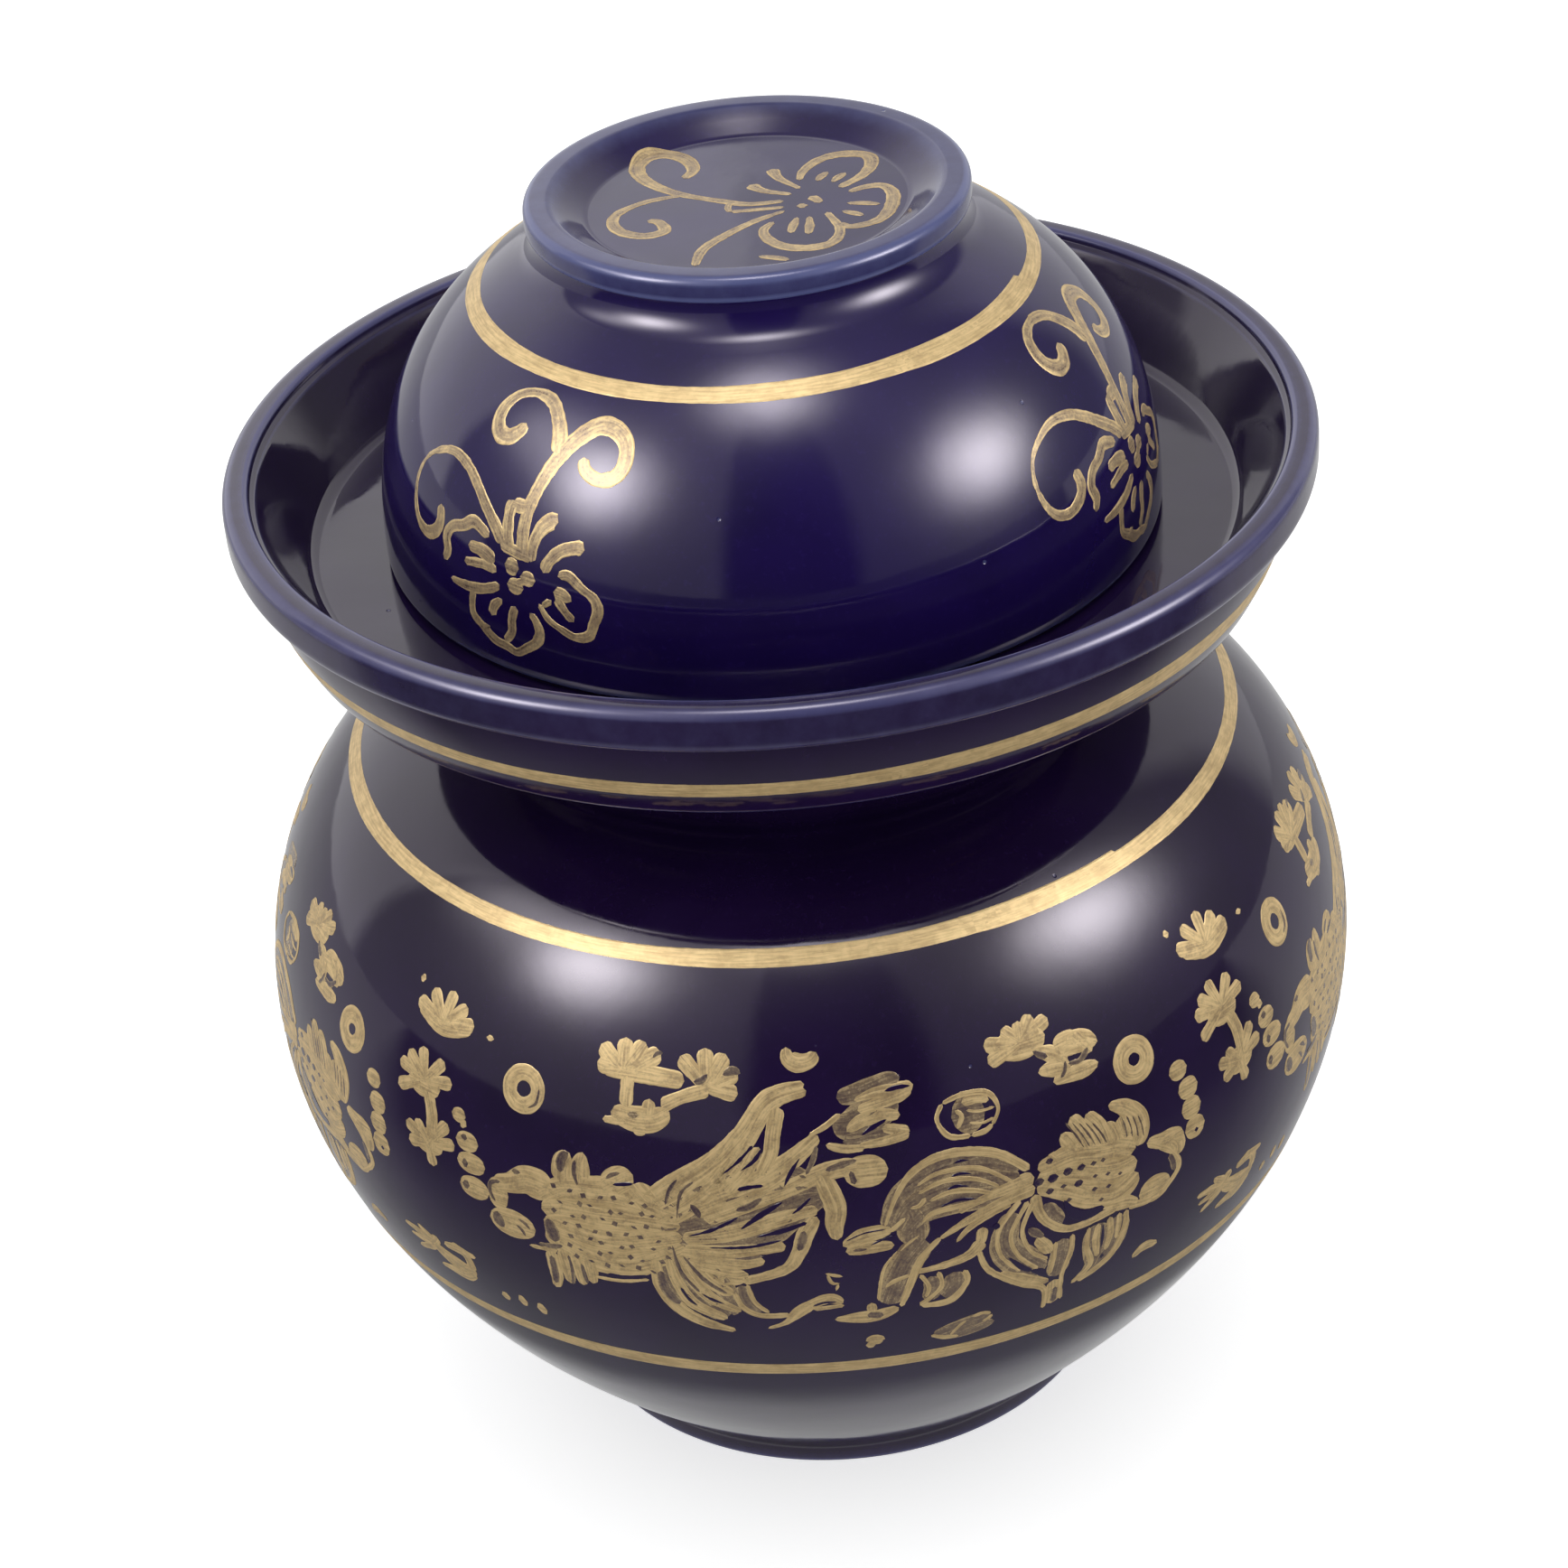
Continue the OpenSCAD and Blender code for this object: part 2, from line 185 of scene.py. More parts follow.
def bowl_outline():
    """Profile of the bowl lid from the middle of its ceiling, round its lip, to the recess."""
    in_r = F.lid_r - F.lid_wall
    crown_z = F.recess_z - F.crown_t
    inside = [oval(0, F.lid_z, in_r, crown_z - F.lid_z, F.lid_full, t)
              for t in np.linspace(1, 0, 65)]
    lip = arc(in_r + F.lid_round, F.moat_z + F.lid_round, F.lid_round, 180, 270) \
        + arc(F.lid_r - F.lid_round, F.moat_z + F.lid_round, F.lid_round, 270, 360)
    neck_in = F.ring_r - F.ring_under
    mid = neck_in + F.cove_r / 2
    slope = math.degrees(math.atan((lid_side_z(mid - 0.1) - lid_side_z(mid + 0.1)) / 0.2))
    turn = 90 - slope
    cove_end = neck_in + F.cove_r * (1 - math.cos(math.radians(turn)))
    cove_z = lid_side_z(cove_end) + F.cove_r * math.sin(math.radians(turn))
    side = [lid_side(t) for t in np.linspace(0, lid_t(cove_end), 97)[:-1]]
    cove = arc(neck_in + F.cove_r, cove_z, F.cove_r, 180 + turn, 180)
    face_z, soft = F.ring_top - F.ring_h, F.ring_round * 0.6
    ring = [(neck_in, face_z)] \
        + arc(F.ring_r - soft, face_z + soft, soft, -90, 0) \
        + arc(F.ring_r - F.ring_round, F.ring_top - F.ring_round, F.ring_round, 0, 90) \
        + arc(F.ring_r - F.ring_w + F.ring_round, F.ring_top - F.ring_round, F.ring_round,
              90, 130)
    recess = [(F.ring_r - F.ring_w - F.recess_slope, F.recess_z), (0, F.recess_z)]
    return np.array(inside + lip + side + cove + ring + recess, float)


def plate_outline():
    """Profile of the inner lid from the middle of its underside to the top of its knob."""
    plate_r, spigot_r = F.collar_r - F.plate_in, F.mouth_r - F.spigot_gap
    spigot_z, plate_z = F.collar_z - F.spigot_h, F.collar_z + F.plate_t
    knob_z, waist = F.collar_z + F.plate_t + F.knob_h, 2.0
    spigot = [(0, F.collar_z), (spigot_r - F.spigot_t, F.collar_z),
              (spigot_r - F.spigot_t, spigot_z), (spigot_r - 1, spigot_z),
              (spigot_r, spigot_z + 1), (spigot_r, F.collar_z)]
    plate = arc(plate_r - F.plate_round, F.collar_z + F.plate_round, F.plate_round, -90, 0) \
        + arc(plate_r - F.plate_round, plate_z - F.plate_round, F.plate_round, 0, 90)
    knob = arc(F.knob_waist + waist, plate_z + waist, waist, 270, 180) \
        + arc(F.knob_r - F.knob_round, knob_z - F.knob_round, F.knob_round, -60, 70) \
        + [(0, knob_z)]
    return np.array(spigot + plate + knob, float)


def run_along(points):
    """Distance of each point along its outline."""
    return np.concatenate([[0], np.cumsum(np.linalg.norm(np.diff(points, axis=0), axis=1))])


def glaze_outline(outline, soft, fine, longest):
    """Rounds an outline's corners as a glaze does and keeps the points that its bends need.

    Gives the points and how thin the glaze runs at each: 1 on a sharp outward edge, 0 on a side.
    """
    step = 0.12
    run = run_along(outline)
    at = np.linspace(0, run[-1], int(run[-1] / step) + 1)
    even = np.stack([np.interp(at, run, outline[:, k]) for k in (0, 1)], 1)
    reach = int(3 * soft / step)
    bell = np.exp(-0.5 * (np.arange(-reach, reach + 1) * step / soft) ** 2)
    bell /= bell.sum()
    # Past the axis the outline goes on as its own mirror, so the poles stay level
    first, last = even[1:reach + 1][::-1] * [-1, 1], even[-reach - 1:-1][::-1] * [-1, 1]
    padded = np.concatenate([first, even, last])
    smooth = np.stack([np.convolve(padded[:, k], bell, "valid") for k in (0, 1)], 1)
    smooth[0, 0] = smooth[-1, 0] = 0.0
    lean = np.unwrap(np.arctan2(*np.gradient(smooth, axis=0).T[::-1]))
    bend = np.gradient(lean) / step
    wide = np.exp(-0.5 * (np.arange(-12, 13) * step / 0.45) ** 2)
    bend = np.convolve(bend, wide / wide.sum(), "same")
    thin = np.clip((bend - 0.18) / 0.45, 0, 1)
    keep, last = [0], 0
    while last < len(smooth) - 1:
        nxt = last + 1
        while nxt < len(smooth) - 1 and (nxt + 1 - last) * step < longest:
            chord = smooth[nxt + 1] - smooth[last]
            chord /= max(np.linalg.norm(chord), 1e-9)
            off = smooth[last:nxt + 2] - smooth[last]
            if np.abs(off[:, 0] * chord[1] - off[:, 1] * chord[0]).max() > fine:
                break
            nxt += 1
        keep.append(nxt)
        last = nxt
    return smooth[keep], thin[keep]


# Node building

def link(tree, value, socket):
    """Joins a value to a socket: another node's socket, or a plain number or colour."""
    if isinstance(value, bpy.types.NodeSocket):
        tree.links.new(value, socket)
    else:
        socket.default_value = value


def put(tree, kind, inputs=None, **settings):
    """Adds a node, with its settings and what goes into its sockets, by name or by number."""
    made = tree.nodes.new(kind)
    for key, value in settings.items():
        setattr(made, key, value)
    for key, value in (inputs or {}).items():
        link(tree, value, made.inputs[key])
    made.location = (180 * (len(tree.nodes) % 12), -220 * (len(tree.nodes) // 12))
    return made


def calc(tree, how, a, b=None, c=None, clamp=False):
    """A Math node in a material or a geometry tree."""
    values = {k: v for k, v in enumerate((a, b, c)) if v is not None}
    return put(tree, "ShaderNodeMath", values, operation=how, use_clamp=clamp).outputs[0]


def vector(tree, how, a, b=None, scale=None):
    """A Vector Math node; lengths and dot products come back as numbers."""
    values = {k: v for k, v in enumerate((a, b)) if v is not None}
    made = put(tree, "ShaderNodeVectorMath", values, operation=how)
    if scale is not None:
        link(tree, scale, made.inputs["Scale"])
    return made.outputs["Value" if how in ("LENGTH", "DISTANCE", "DOT_PRODUCT") else "Vector"]


def join(tree, x, y, z):
    return put(tree, "ShaderNodeCombineXYZ", {0: x, 1: y, 2: z}).outputs[0]


def split(tree, value):
    return put(tree, "ShaderNodeSeparateXYZ", {0: value}).outputs


def remap(tree, value, a, b, c=0.0, d=1.0, how="SMOOTHSTEP"):
    """Maps a..b onto c..d, smoothly by default, and holds the ends."""
    return put(tree, "ShaderNodeMapRange",
               {"Value": value, "From Min": a, "From Max": b, "To Min": c, "To Max": d},
               interpolation_type=how).outputs[0]


def blend(tree, fac, a, b):
    """Mixes two colours."""
    made = put(tree, "ShaderNodeMix", data_type="RGBA")
    link(tree, fac, made.inputs["Factor"])
    for value, key in ((a, 6), (b, 7)):
        link(tree, value, made.inputs[key])
    return made.outputs[2]


def noise_at(tree, where, scale, detail=2.0, rough=0.5, warp=0.0):
    return put(tree, "ShaderNodeTexNoise",
               {"Vector": where, "Scale": scale, "Detail": detail, "Roughness": rough,
                "Distortion": warp}).outputs["Fac"]


def socket_in(tree, name, kind, value=None, low=None, high=None):
    """A named input of a geometry tree."""
    made = tree.interface.new_socket(name=name, in_out="INPUT", socket_type=kind)
    if value is not None:
        made.default_value = value
    if low is not None:
        made.min_value, made.max_value = low, high
    return made


def named(tree, name, kind="FLOAT"):
    """Reads a named attribute in a geometry tree."""
    made = put(tree, "GeometryNodeInputNamedAttribute", {"Name": name}, data_type=kind)
    return made.outputs["Attribute"]


def store(tree, geometry, name, value, kind="FLOAT", domain="POINT"):
    """Keeps a value on the geometry under a name."""
    return put(tree, "GeometryNodeStoreNamedAttribute",
               {"Geometry": geometry, "Name": name, "Value": value},
               data_type=kind, domain=domain).outputs["Geometry"]


def bake(name, source, tree, values):
    """Runs a geometry tree on a source mesh object and gives its result as a plain object."""
    modifier = source.modifiers.new(tree.name, "NODES")
    modifier.node_group = tree
    keys = {item.name: item.identifier for item in tree.interface.items_tree
            if item.item_type == "SOCKET" and item.in_out == "INPUT"}
    for key, value in values.items():
        modifier[keys[key]] = value
    graph = bpy.context.evaluated_depsgraph_get()
    mesh = bpy.data.meshes.new_from_object(source.evaluated_get(graph), depsgraph=graph)
    source.modifiers.remove(modifier)
    if not len(mesh.polygons):
        raise RuntimeError(f"{tree.name} made nothing for {name}")
    mesh.name = name
    made = bpy.data.objects.new(name, mesh)
    bpy.context.scene.collection.objects.link(made)
    return made


def face_out(made):
    """Turns a closed mesh's faces outwards."""
    work = bmesh.new()
    work.from_mesh(made.data)
    if work.calc_volume(signed=True) < 0:
        bmesh.ops.reverse_faces(work, faces=work.faces[:])
    work.to_mesh(made.data)
    work.free()


def drop(*objects):
    """Removes construction objects and their meshes."""
    for thing in objects:
        mesh = thing.data
        bpy.data.objects.remove(thing)
        bpy.data.meshes.remove(mesh)


# Geometry trees

def turned_shell_tree():
    """Turns a profile, given as a mesh's points in order, round +Z."""
    tree = bpy.data.node_groups.new("Turned shell", "GeometryNodeTree")
    socket_in(tree, "Geometry", "NodeSocketGeometry")
    socket_in(tree, "Sides", "NodeSocketInt", 256, 24, 512)
    socket_in(tree, "Throwing ripple", "NodeSocketFloat", 0.00004, 0.0, 0.001)
    socket_in(tree, "Seed", "NodeSocketFloat", 1.0, 0.0, 100.0)
    socket_in(tree, "Glaze", "NodeSocketMaterial")
    tree.interface.new_socket(name="Geometry", in_out="OUTPUT", socket_type="NodeSocketGeometry")
    given = put(tree, "NodeGroupInput").outputs
    count = put(tree, "GeometryNodeAttributeDomainSize", {0: given["Geometry"]},
                component="MESH").outputs["Point Count"]
    columns = calc(tree, "ADD", given["Sides"], 1.0)
    grid = put(tree, "GeometryNodeMeshGrid", {"Vertices X": columns, "Vertices Y": count})
    along = split(tree, grid.outputs["UV Map"])
    sheet = store(tree, grid.outputs["Mesh"], "UVMap", grid.outputs["UV Map"],
                  "FLOAT2", "CORNER")
    # Which point of the profile, and which way round
    row = calc(tree, "ROUND", calc(tree, "MULTIPLY", along[1], calc(tree, "SUBTRACT", count, 1.0)))
    turn = calc(tree, "MULTIPLY", calc(tree, "SUBTRACT", along[0], 0.5), 2 * math.pi)

    def of_profile(value, kind):
        made = put(tree, "GeometryNodeSampleIndex",
                   {"Geometry": given["Geometry"], "Value": value, "Index": row},
                   data_type=kind, domain="POINT", clamp=True)
        return made.outputs["Value"]

    place = split(tree, of_profile(put(tree, "GeometryNodeInputPosition").outputs[0],
                                   "FLOAT_VECTOR"))
    thin = of_profile(named(tree, "thin"), "FLOAT")
    bare = of_profile(named(tree, "bare"), "FLOAT")
    # The slow unevenness that hands and a wheel leave, always inwards so the box holds
    wave = noise_at(tree, vector(tree, "SCALE", join(tree, calc(tree, "SINE", turn),
                                                     calc(tree, "COSINE", turn), given["Seed"]),
                                 scale=1.0), 1.6, 1.0)
    ring = noise_at(tree, join(tree, calc(tree, "MULTIPLY", place[2], 130.0), given["Seed"], 0.0),
                    1.0, 1.0)
    inward = calc(tree, "MULTIPLY", calc(tree, "ADD", wave, ring), given["Throwing ripple"])
    near_axis = remap(tree, place[0], 0.0, 0.03)
    radius = calc(tree, "SUBTRACT", place[0], calc(tree, "MULTIPLY", inward, near_axis))
    where = join(tree, calc(tree, "MULTIPLY", radius, calc(tree, "SINE", turn)),
                 calc(tree, "MULTIPLY", radius, calc(tree, "MULTIPLY",
                                                     calc(tree, "COSINE", turn), -1.0)),
                 place[2])
    for name, value in (("thin", thin), ("bare", bare)):
        sheet = store(tree, sheet, name, value)
    shell = put(tree, "GeometryNodeSetPosition", {"Geometry": sheet, "Position": where})
    closed = put(tree, "GeometryNodeMergeByDistance",
                 {"Geometry": shell.outputs[0], "Distance": 2e-6})
    smooth = put(tree, "GeometryNodeSetShadeSmooth", {"Geometry": closed.outputs[0]})
    whole = put(tree, "GeometryNodeRealizeInstances", {"Geometry": smooth.outputs[0]})
    glazed = put(tree, "GeometryNodeSetMaterial",
                 {"Geometry": whole.outputs[0], "Material": given["Glaze"]})
    put(tree, "NodeGroupOutput", {0: glazed.outputs[0]})
    return tree


def brush_tree():
    """Brushes strokes onto a turned shell.

    The source mesh holds each stroke's middle line on a flat sheet, x round the shell and y
    along its profile, with its half width, how full the paint is, its layer and its seed.
    """
    tree = bpy.data.node_groups.new("Gold brush", "GeometryNodeTree")
    socket_in(tree, "Geometry", "NodeSocketGeometry")
    socket_in(tree, "Profile", "NodeSocketObject")
    socket_in(tree, "Shell", "NodeSocketObject")
    socket_in(tree, "Sheet radius", "NodeSocketFloat", 0.1, 0.0, 10.0)
    socket_in(tree, "Profile start", "NodeSocketFloat", 0.0, -10.0, 10.0)
    socket_in(tree, "From above", "NodeSocketBool", False)
    socket_in(tree, "Repeats", "NodeSocketInt", 1, 1, 64)
    socket_in(tree, "Hand drift", "NodeSocketFloat", 0.0, 0.0, 0.01)
    socket_in(tree, "Hand wobble", "NodeSocketFloat", 0.0001, 0.0, 0.01)
    socket_in(tree, "Paint thickness", "NodeSocketFloat", 0.00004, 0.0, 0.001)
    socket_in(tree, "Spacing", "NodeSocketFloat", 0.0006, 0.0001, 0.01)
    socket_in(tree, "Seed", "NodeSocketFloat", 1.0, 0.0, 100.0)
    socket_in(tree, "Gold", "NodeSocketMaterial")
    tree.interface.new_socket(name="Geometry", in_out="OUTPUT", socket_type="NodeSocketGeometry")
    given = put(tree, "NodeGroupInput").outputs

    lines = put(tree, "GeometryNodeMeshToCurve", {0: given["Geometry"]}).outputs[0]
    # One drawing repeats evenly round the shell, each time a little off
    copies = put(tree, "GeometryNodeDuplicateElements",
                 {"Geometry": lines, "Amount": given["Repeats"]}, domain="SPLINE")
    lines = store(tree, copies.outputs["Geometry"], "copy", copies.outputs["Duplicate Index"],
                  "FLOAT", "CURVE")
    copy = named(tree, "copy")
    round_the_shell = calc(tree, "MULTIPLY", given["Sheet radius"], 2 * math.pi)
    step = calc(tree, "DIVIDE", round_the_shell, given["Repeats"])
    place = put(tree, "GeometryNodeInputPosition").outputs[0]
    # Each copy drifts as a whole, and slow bends run through it
    far = calc(tree, "ADD", calc(tree, "MULTIPLY", copy, 17.3), given["Seed"])
    slow = put(tree, "ShaderNodeTexNoise",
               {"Vector": vector(tree, "ADD", vector(tree, "SCALE", place, scale=28.0),
                                 join(tree, 0.0, 0.0, far)), "Scale": 1.0, "Detail": 1.0})
    bend = vector(tree, "SCALE",
                  vector(tree, "SUBTRACT", slow.outputs["Color"], (0.5, 0.5, 0.5)),
                  scale=given["Hand drift"])
    shift = vector(tree, "ADD", join(tree, calc(tree, "MULTIPLY", copy, step), 0.0, 0.0),
                   vector(tree, "MULTIPLY", bend, (1.0, 1.0, 0.0)))
    lines = put(tree, "GeometryNodeSetPosition", {"Geometry": lines, "Offset": shift}).outputs[0]
    curved = put(tree, "GeometryNodeCurveSplineType", {"Curve": lines},
                 spline_type="CATMULL_ROM").outputs[0]
    even = put(tree, "GeometryNodeResampleCurve", {"Curve": curved, "Length": given["Spacing"]},
               mode="LENGTH").outputs[0]

    # Round tips: the width follows a half circle over its own length at both ends
    walk = put(tree, "GeometryNodeSplineParameter").outputs["Length"]
    total = put(tree, "GeometryNodeSplineLength").outputs["Length"]
    half = named(tree, "half_width")
    tip = calc(tree, "MINIMUM", walk, calc(tree, "SUBTRACT", total, walk))
    reach = calc(tree, "MULTIPLY", half, named(tree, "tip"))
    near = calc(tree, "SUBTRACT", 1.0, calc(tree, "DIVIDE", tip,
                                            calc(tree, "MAXIMUM", reach, 1e-6)), clamp=True)
    cap = calc(tree, "SQRT", calc(tree, "SUBTRACT", 1.0, calc(tree, "MULTIPLY", near, near),
                                  clamp=True))
    seed = calc(tree, "ADD", named(tree, "seed"), far)
    jitter = noise_at(tree, join(tree, calc(tree, "MULTIPLY", walk, 620.0), seed, 0.0), 1.0, 2.0)
    wobble = calc(tree, "MULTIPLY", calc(tree, "SUBTRACT", jitter, 0.5), given["Hand wobble"])
    width = calc(tree, "MULTIPLY", calc(tree, "ADD", half, calc(tree, "MULTIPLY", wobble, 2.0)),
                 cap)
    tangent = split(tree, put(tree, "GeometryNodeInputTangent").outputs[0])
    across = join(tree, calc(tree, "MULTIPLY", tangent[1], -1.0), tangent[0], 0.0)
    for name, value, kind in (
            ("middle", put(tree, "GeometryNodeInputPosition").outputs[0], "FLOAT_VECTOR"),
            ("side", vector(tree, "SCALE", across, scale=width), "FLOAT_VECTOR"),
            ("walk", walk, "FLOAT"), ("wide", width, "FLOAT"), ("grain_seed", seed, "FLOAT")):
        even = store(tree, even, name, value, kind)

    # The section of a stroke: flat below, a little crowned above, thin at its edges
    ring = put(tree, "GeometryNodeCurvePrimitiveCircle", {"Resolution": 8, "Radius": 1.0},
               mode="RADIUS").outputs["Curve"]
    spot = split(tree, put(tree, "GeometryNodeInputPosition").outputs[0])
    section = store(tree, ring, "off", spot[0])
    section = store(tree, section, "up", spot[1])
    ribbon = put(tree, "GeometryNodeCurveToMesh",
                 {"Curve": even, "Profile Curve": section}).outputs[0]
    off, up = named(tree, "off"), named(tree, "up")
    sign = calc(tree, "SIGN", off)
    spread = calc(tree, "MULTIPLY", sign,
                  calc(tree, "POWER", calc(tree, "ABSOLUTE", off), 0.45))
    flat = vector(tree, "ADD", named(tree, "middle", "FLOAT_VECTOR"),
                  vector(tree, "SCALE", named(tree, "side", "FLOAT_VECTOR"), scale=spread))
    rise = calc(tree, "MULTIPLY", calc(tree, "POWER", calc(tree, "MAXIMUM", up, 0.0), 0.25),
                given["Paint thickness"])
    height = calc(tree, "ADD", calc(tree, "ADD", rise, named(tree, "layer")), 0.00001)
    flat_xyz = split(tree, flat)

    # Wraps the sheet: y walks along the profile, x turns round the axis
    guide = put(tree, "GeometryNodeObjectInfo", {"Object": given["Profile"]},
                transform_space="ORIGINAL").outputs["Geometry"]
    guide = put(tree, "GeometryNodeMeshToCurve", {0: guide}).outputs[0]
    spot_on = put(tree, "GeometryNodeSampleCurve",
                  {"Curves": guide, "Length": calc(tree, "ADD", flat_xyz[1],
                                                   given["Profile start"])},
                  mode="LENGTH", use_all_curves=True)
    point = split(tree, spot_on.outputs["Position"])
    angle = calc(tree, "DIVIDE", flat_xyz[0], given["Sheet radius"])
    wrapped = join(tree, calc(tree, "MULTIPLY", point[0], calc(tree, "SINE", angle)),
                   calc(tree, "MULTIPLY", calc(tree, "MULTIPLY", point[0],
                                               calc(tree, "COSINE", angle)), -1.0), point[2])
    above = join(tree, flat_xyz[0], flat_xyz[1], 1.0)
    start = put(tree, "GeometryNodeSwitch",
                {"Switch": given["From above"], "False": wrapped, "True": above},
                input_type="VECTOR").outputs[0]
    # Settles onto the shell itself and rises along its normal
    shell = put(tree, "GeometryNodeObjectInfo", {"Object": given["Shell"]},
                transform_space="ORIGINAL").outputs["Geometry"]
    near_spot = put(tree, "GeometryNodeSampleNearestSurface",
                    {"Mesh": shell, "Value": put(tree, "GeometryNodeInputPosition").outputs[0],
                     "Sample Position": start}, data_type="FLOAT_VECTOR").outputs["Value"]
    drop_ray = put(tree, "GeometryNodeRaycast",
                   {"Target Geometry": shell, "Source Position": start,
                    "Ray Direction": (0.0, 0.0, -1.0), "Ray Length": 2.0})
    landed = put(tree, "GeometryNodeSwitch",
                 {"Switch": given["From above"], "False": near_spot,
                  "True": drop_ray.outputs["Hit Position"]}, input_type="VECTOR").outputs[0]
    normal = put(tree, "GeometryNodeSampleNearestSurface",
                 {"Mesh": shell, "Value": put(tree, "GeometryNodeInputNormal").outputs[0],
                  "Sample Position": landed}, data_type="FLOAT_VECTOR").outputs["Value"]
    final = vector(tree, "ADD", landed, vector(tree, "SCALE", vector(tree, "NORMALIZE", normal),
                                               scale=height))
    brush = join(tree, named(tree, "walk"),
                 calc(tree, "MULTIPLY", spread, named(tree, "wide")), named(tree, "grain_seed"))
    ribbon = store(tree, ribbon, "brush", brush, "FLOAT_VECTOR")
    ribbon = store(tree, ribbon, "across", spread)
    ribbon = put(tree, "GeometryNodeSetPosition",
                 {"Geometry": ribbon, "Position": final}).outputs[0]
    closed = put(tree, "GeometryNodeMergeByDistance",
                 {"Geometry": ribbon, "Distance": 1e-6}).outputs[0]
    # Fired gold lies flat on the glaze, so its faces are not shaded as a round bead
    flat_shaded = put(tree, "GeometryNodeSetShadeSmooth",
                      {"Geometry": closed, "Shade Smooth": False}).outputs[0]
    for name in ("copy", "tip", "half_width", "middle", "side", "walk", "wide", "off", "up",
                 "layer", "seed", "grain_seed"):
        flat_shaded = put(tree, "GeometryNodeRemoveAttribute",
                          {"Geometry": flat_shaded, "Name": name}).outputs[0]
    whole = put(tree, "GeometryNodeRealizeInstances", {"Geometry": flat_shaded}).outputs[0]
    gilded = put(tree, "GeometryNodeSetMaterial",
                 {"Geometry": whole, "Material": given["Gold"]}).outputs[0]
    put(tree, "NodeGroupOutput", {0: gilded})
    return tree


# Finishes

def new_finish(name):
    """An empty material with a Principled shader of its own."""
    finish = bpy.data.materials.new(name)
    finish.use_nodes = True
    tree = finish.node_tree
    tree.nodes.clear()
    shader = put(tree, "ShaderNodeBsdfPrincipled")
    put(tree, "ShaderNodeOutputMaterial", {"Surface": shader.outputs[0]})
    return finish, tree, shader


def attribute(tree, name, out="Fac"):
    return put(tree, "ShaderNodeAttribute", attribute_name=name).outputs[out]


def glaze_finish(name, deep, thin, clay, coat):
    """A pooled glossy glaze that pales where it thins over an edge, on pale fired clay."""
    finish, tree, shader = new_finish(name)
    here = put(tree, "ShaderNodeTexCoord").outputs["Object"]
    edge = attribute(tree, "thin")
    bare = attribute(tree, "bare")
    # Cloudy depth of the glaze, and a mottle of fine crystals
    cloud = noise_at(tree, here, 34.0, 4.0, 0.55, 0.4)
    mottle = noise_at(tree, here, 900.0, 3.0, 0.6)
    deeper = tuple(v * 0.72 for v in deep[:3]) + (1.0,)
    body = blend(tree, remap(tree, cloud, 0.34, 0.66), deeper, deep)
    lighter = tuple(min(1.0, v * 1.5 + 0.002) for v in deep[:3]) + (1.0,)
    body = blend(tree, calc(tree, "MULTIPLY", remap(tree, mottle, 0.55, 0.75), 0.35),
                 body, lighter)
    # Thin glaze breaks unevenly along the edge
    broken = noise_at(tree, here, 260.0, 4.0, 0.6)
    ragged = remap(tree, calc(tree, "ADD", edge, calc(tree, "MULTIPLY", broken, 0.3)), 0.18,
                   1.15)
    body = blend(tree, ragged, body, thin)
    # Tiny pale specks where a pinhole broke the glaze
    pits = put(tree, "ShaderNodeTexVoronoi", {"Vector": here, "Scale": 120.0, "Randomness": 1.0},
               feature="F1")
    rare = split(tree, pits.outputs["Color"])[0]
    speck = calc(tree, "MULTIPLY", remap(tree, pits.outputs["Distance"], 0.055, 0.03),
                 remap(tree, rare, 0.86, 0.9))
    body = blend(tree, calc(tree, "MULTIPLY", speck, 0.5), body, thin)
    grit = noise_at(tree, here, 2600.0, 3.0, 0.7)
    clay_dark = tuple(v * 0.7 for v in clay[:3]) + (1.0,)
    body = blend(tree, bare, body, blend(tree, grit, clay_dark, clay))
    link(tree, body, shader.inputs["Base Color"])
    smear = noise_at(tree, here, 90.0, 3.0, 0.6)
    gloss = calc(tree, "ADD", remap(tree, smear, 0.3, 0.75, coat * 0.7, coat * 1.5),
                 calc(tree, "MULTIPLY", ragged, 0.08))
    gloss = calc(tree, "ADD", gloss, calc(tree, "MULTIPLY", bare, 0.75), clamp=True)
    link(tree, gloss, shader.inputs["Roughness"])
    shader.inputs["IOR"].default_value = 1.54
    shader.inputs["Specular Tint"].default_value = (1.0, 0.93, 1.0, 1.0)
    # Relief: the slow dips of a poured glaze, orange peel, pinholes and the bare clay's grit
    dips = noise_at(tree, here, 55.0, 1.5, 0.4)
    peel = noise_at(tree, here, 420.0, 1.0, 0.4)
    relief = calc(tree, "ADD", calc(tree, "MULTIPLY", dips, 0.00016),
                  calc(tree, "MULTIPLY", peel, 0.000006))
    relief = calc(tree, "SUBTRACT", relief, calc(tree, "MULTIPLY", speck, 0.00008))
    relief = calc(tree, "ADD", relief,
                  calc(tree, "MULTIPLY", calc(tree, "MULTIPLY", grit, bare), 0.0001))
    bump = put(tree, "ShaderNodeBump", {"Height": relief, "Strength": 1.0, "Distance": 1.0})
    link(tree, bump.outputs[0], shader.inputs["Normal"])
    return finish


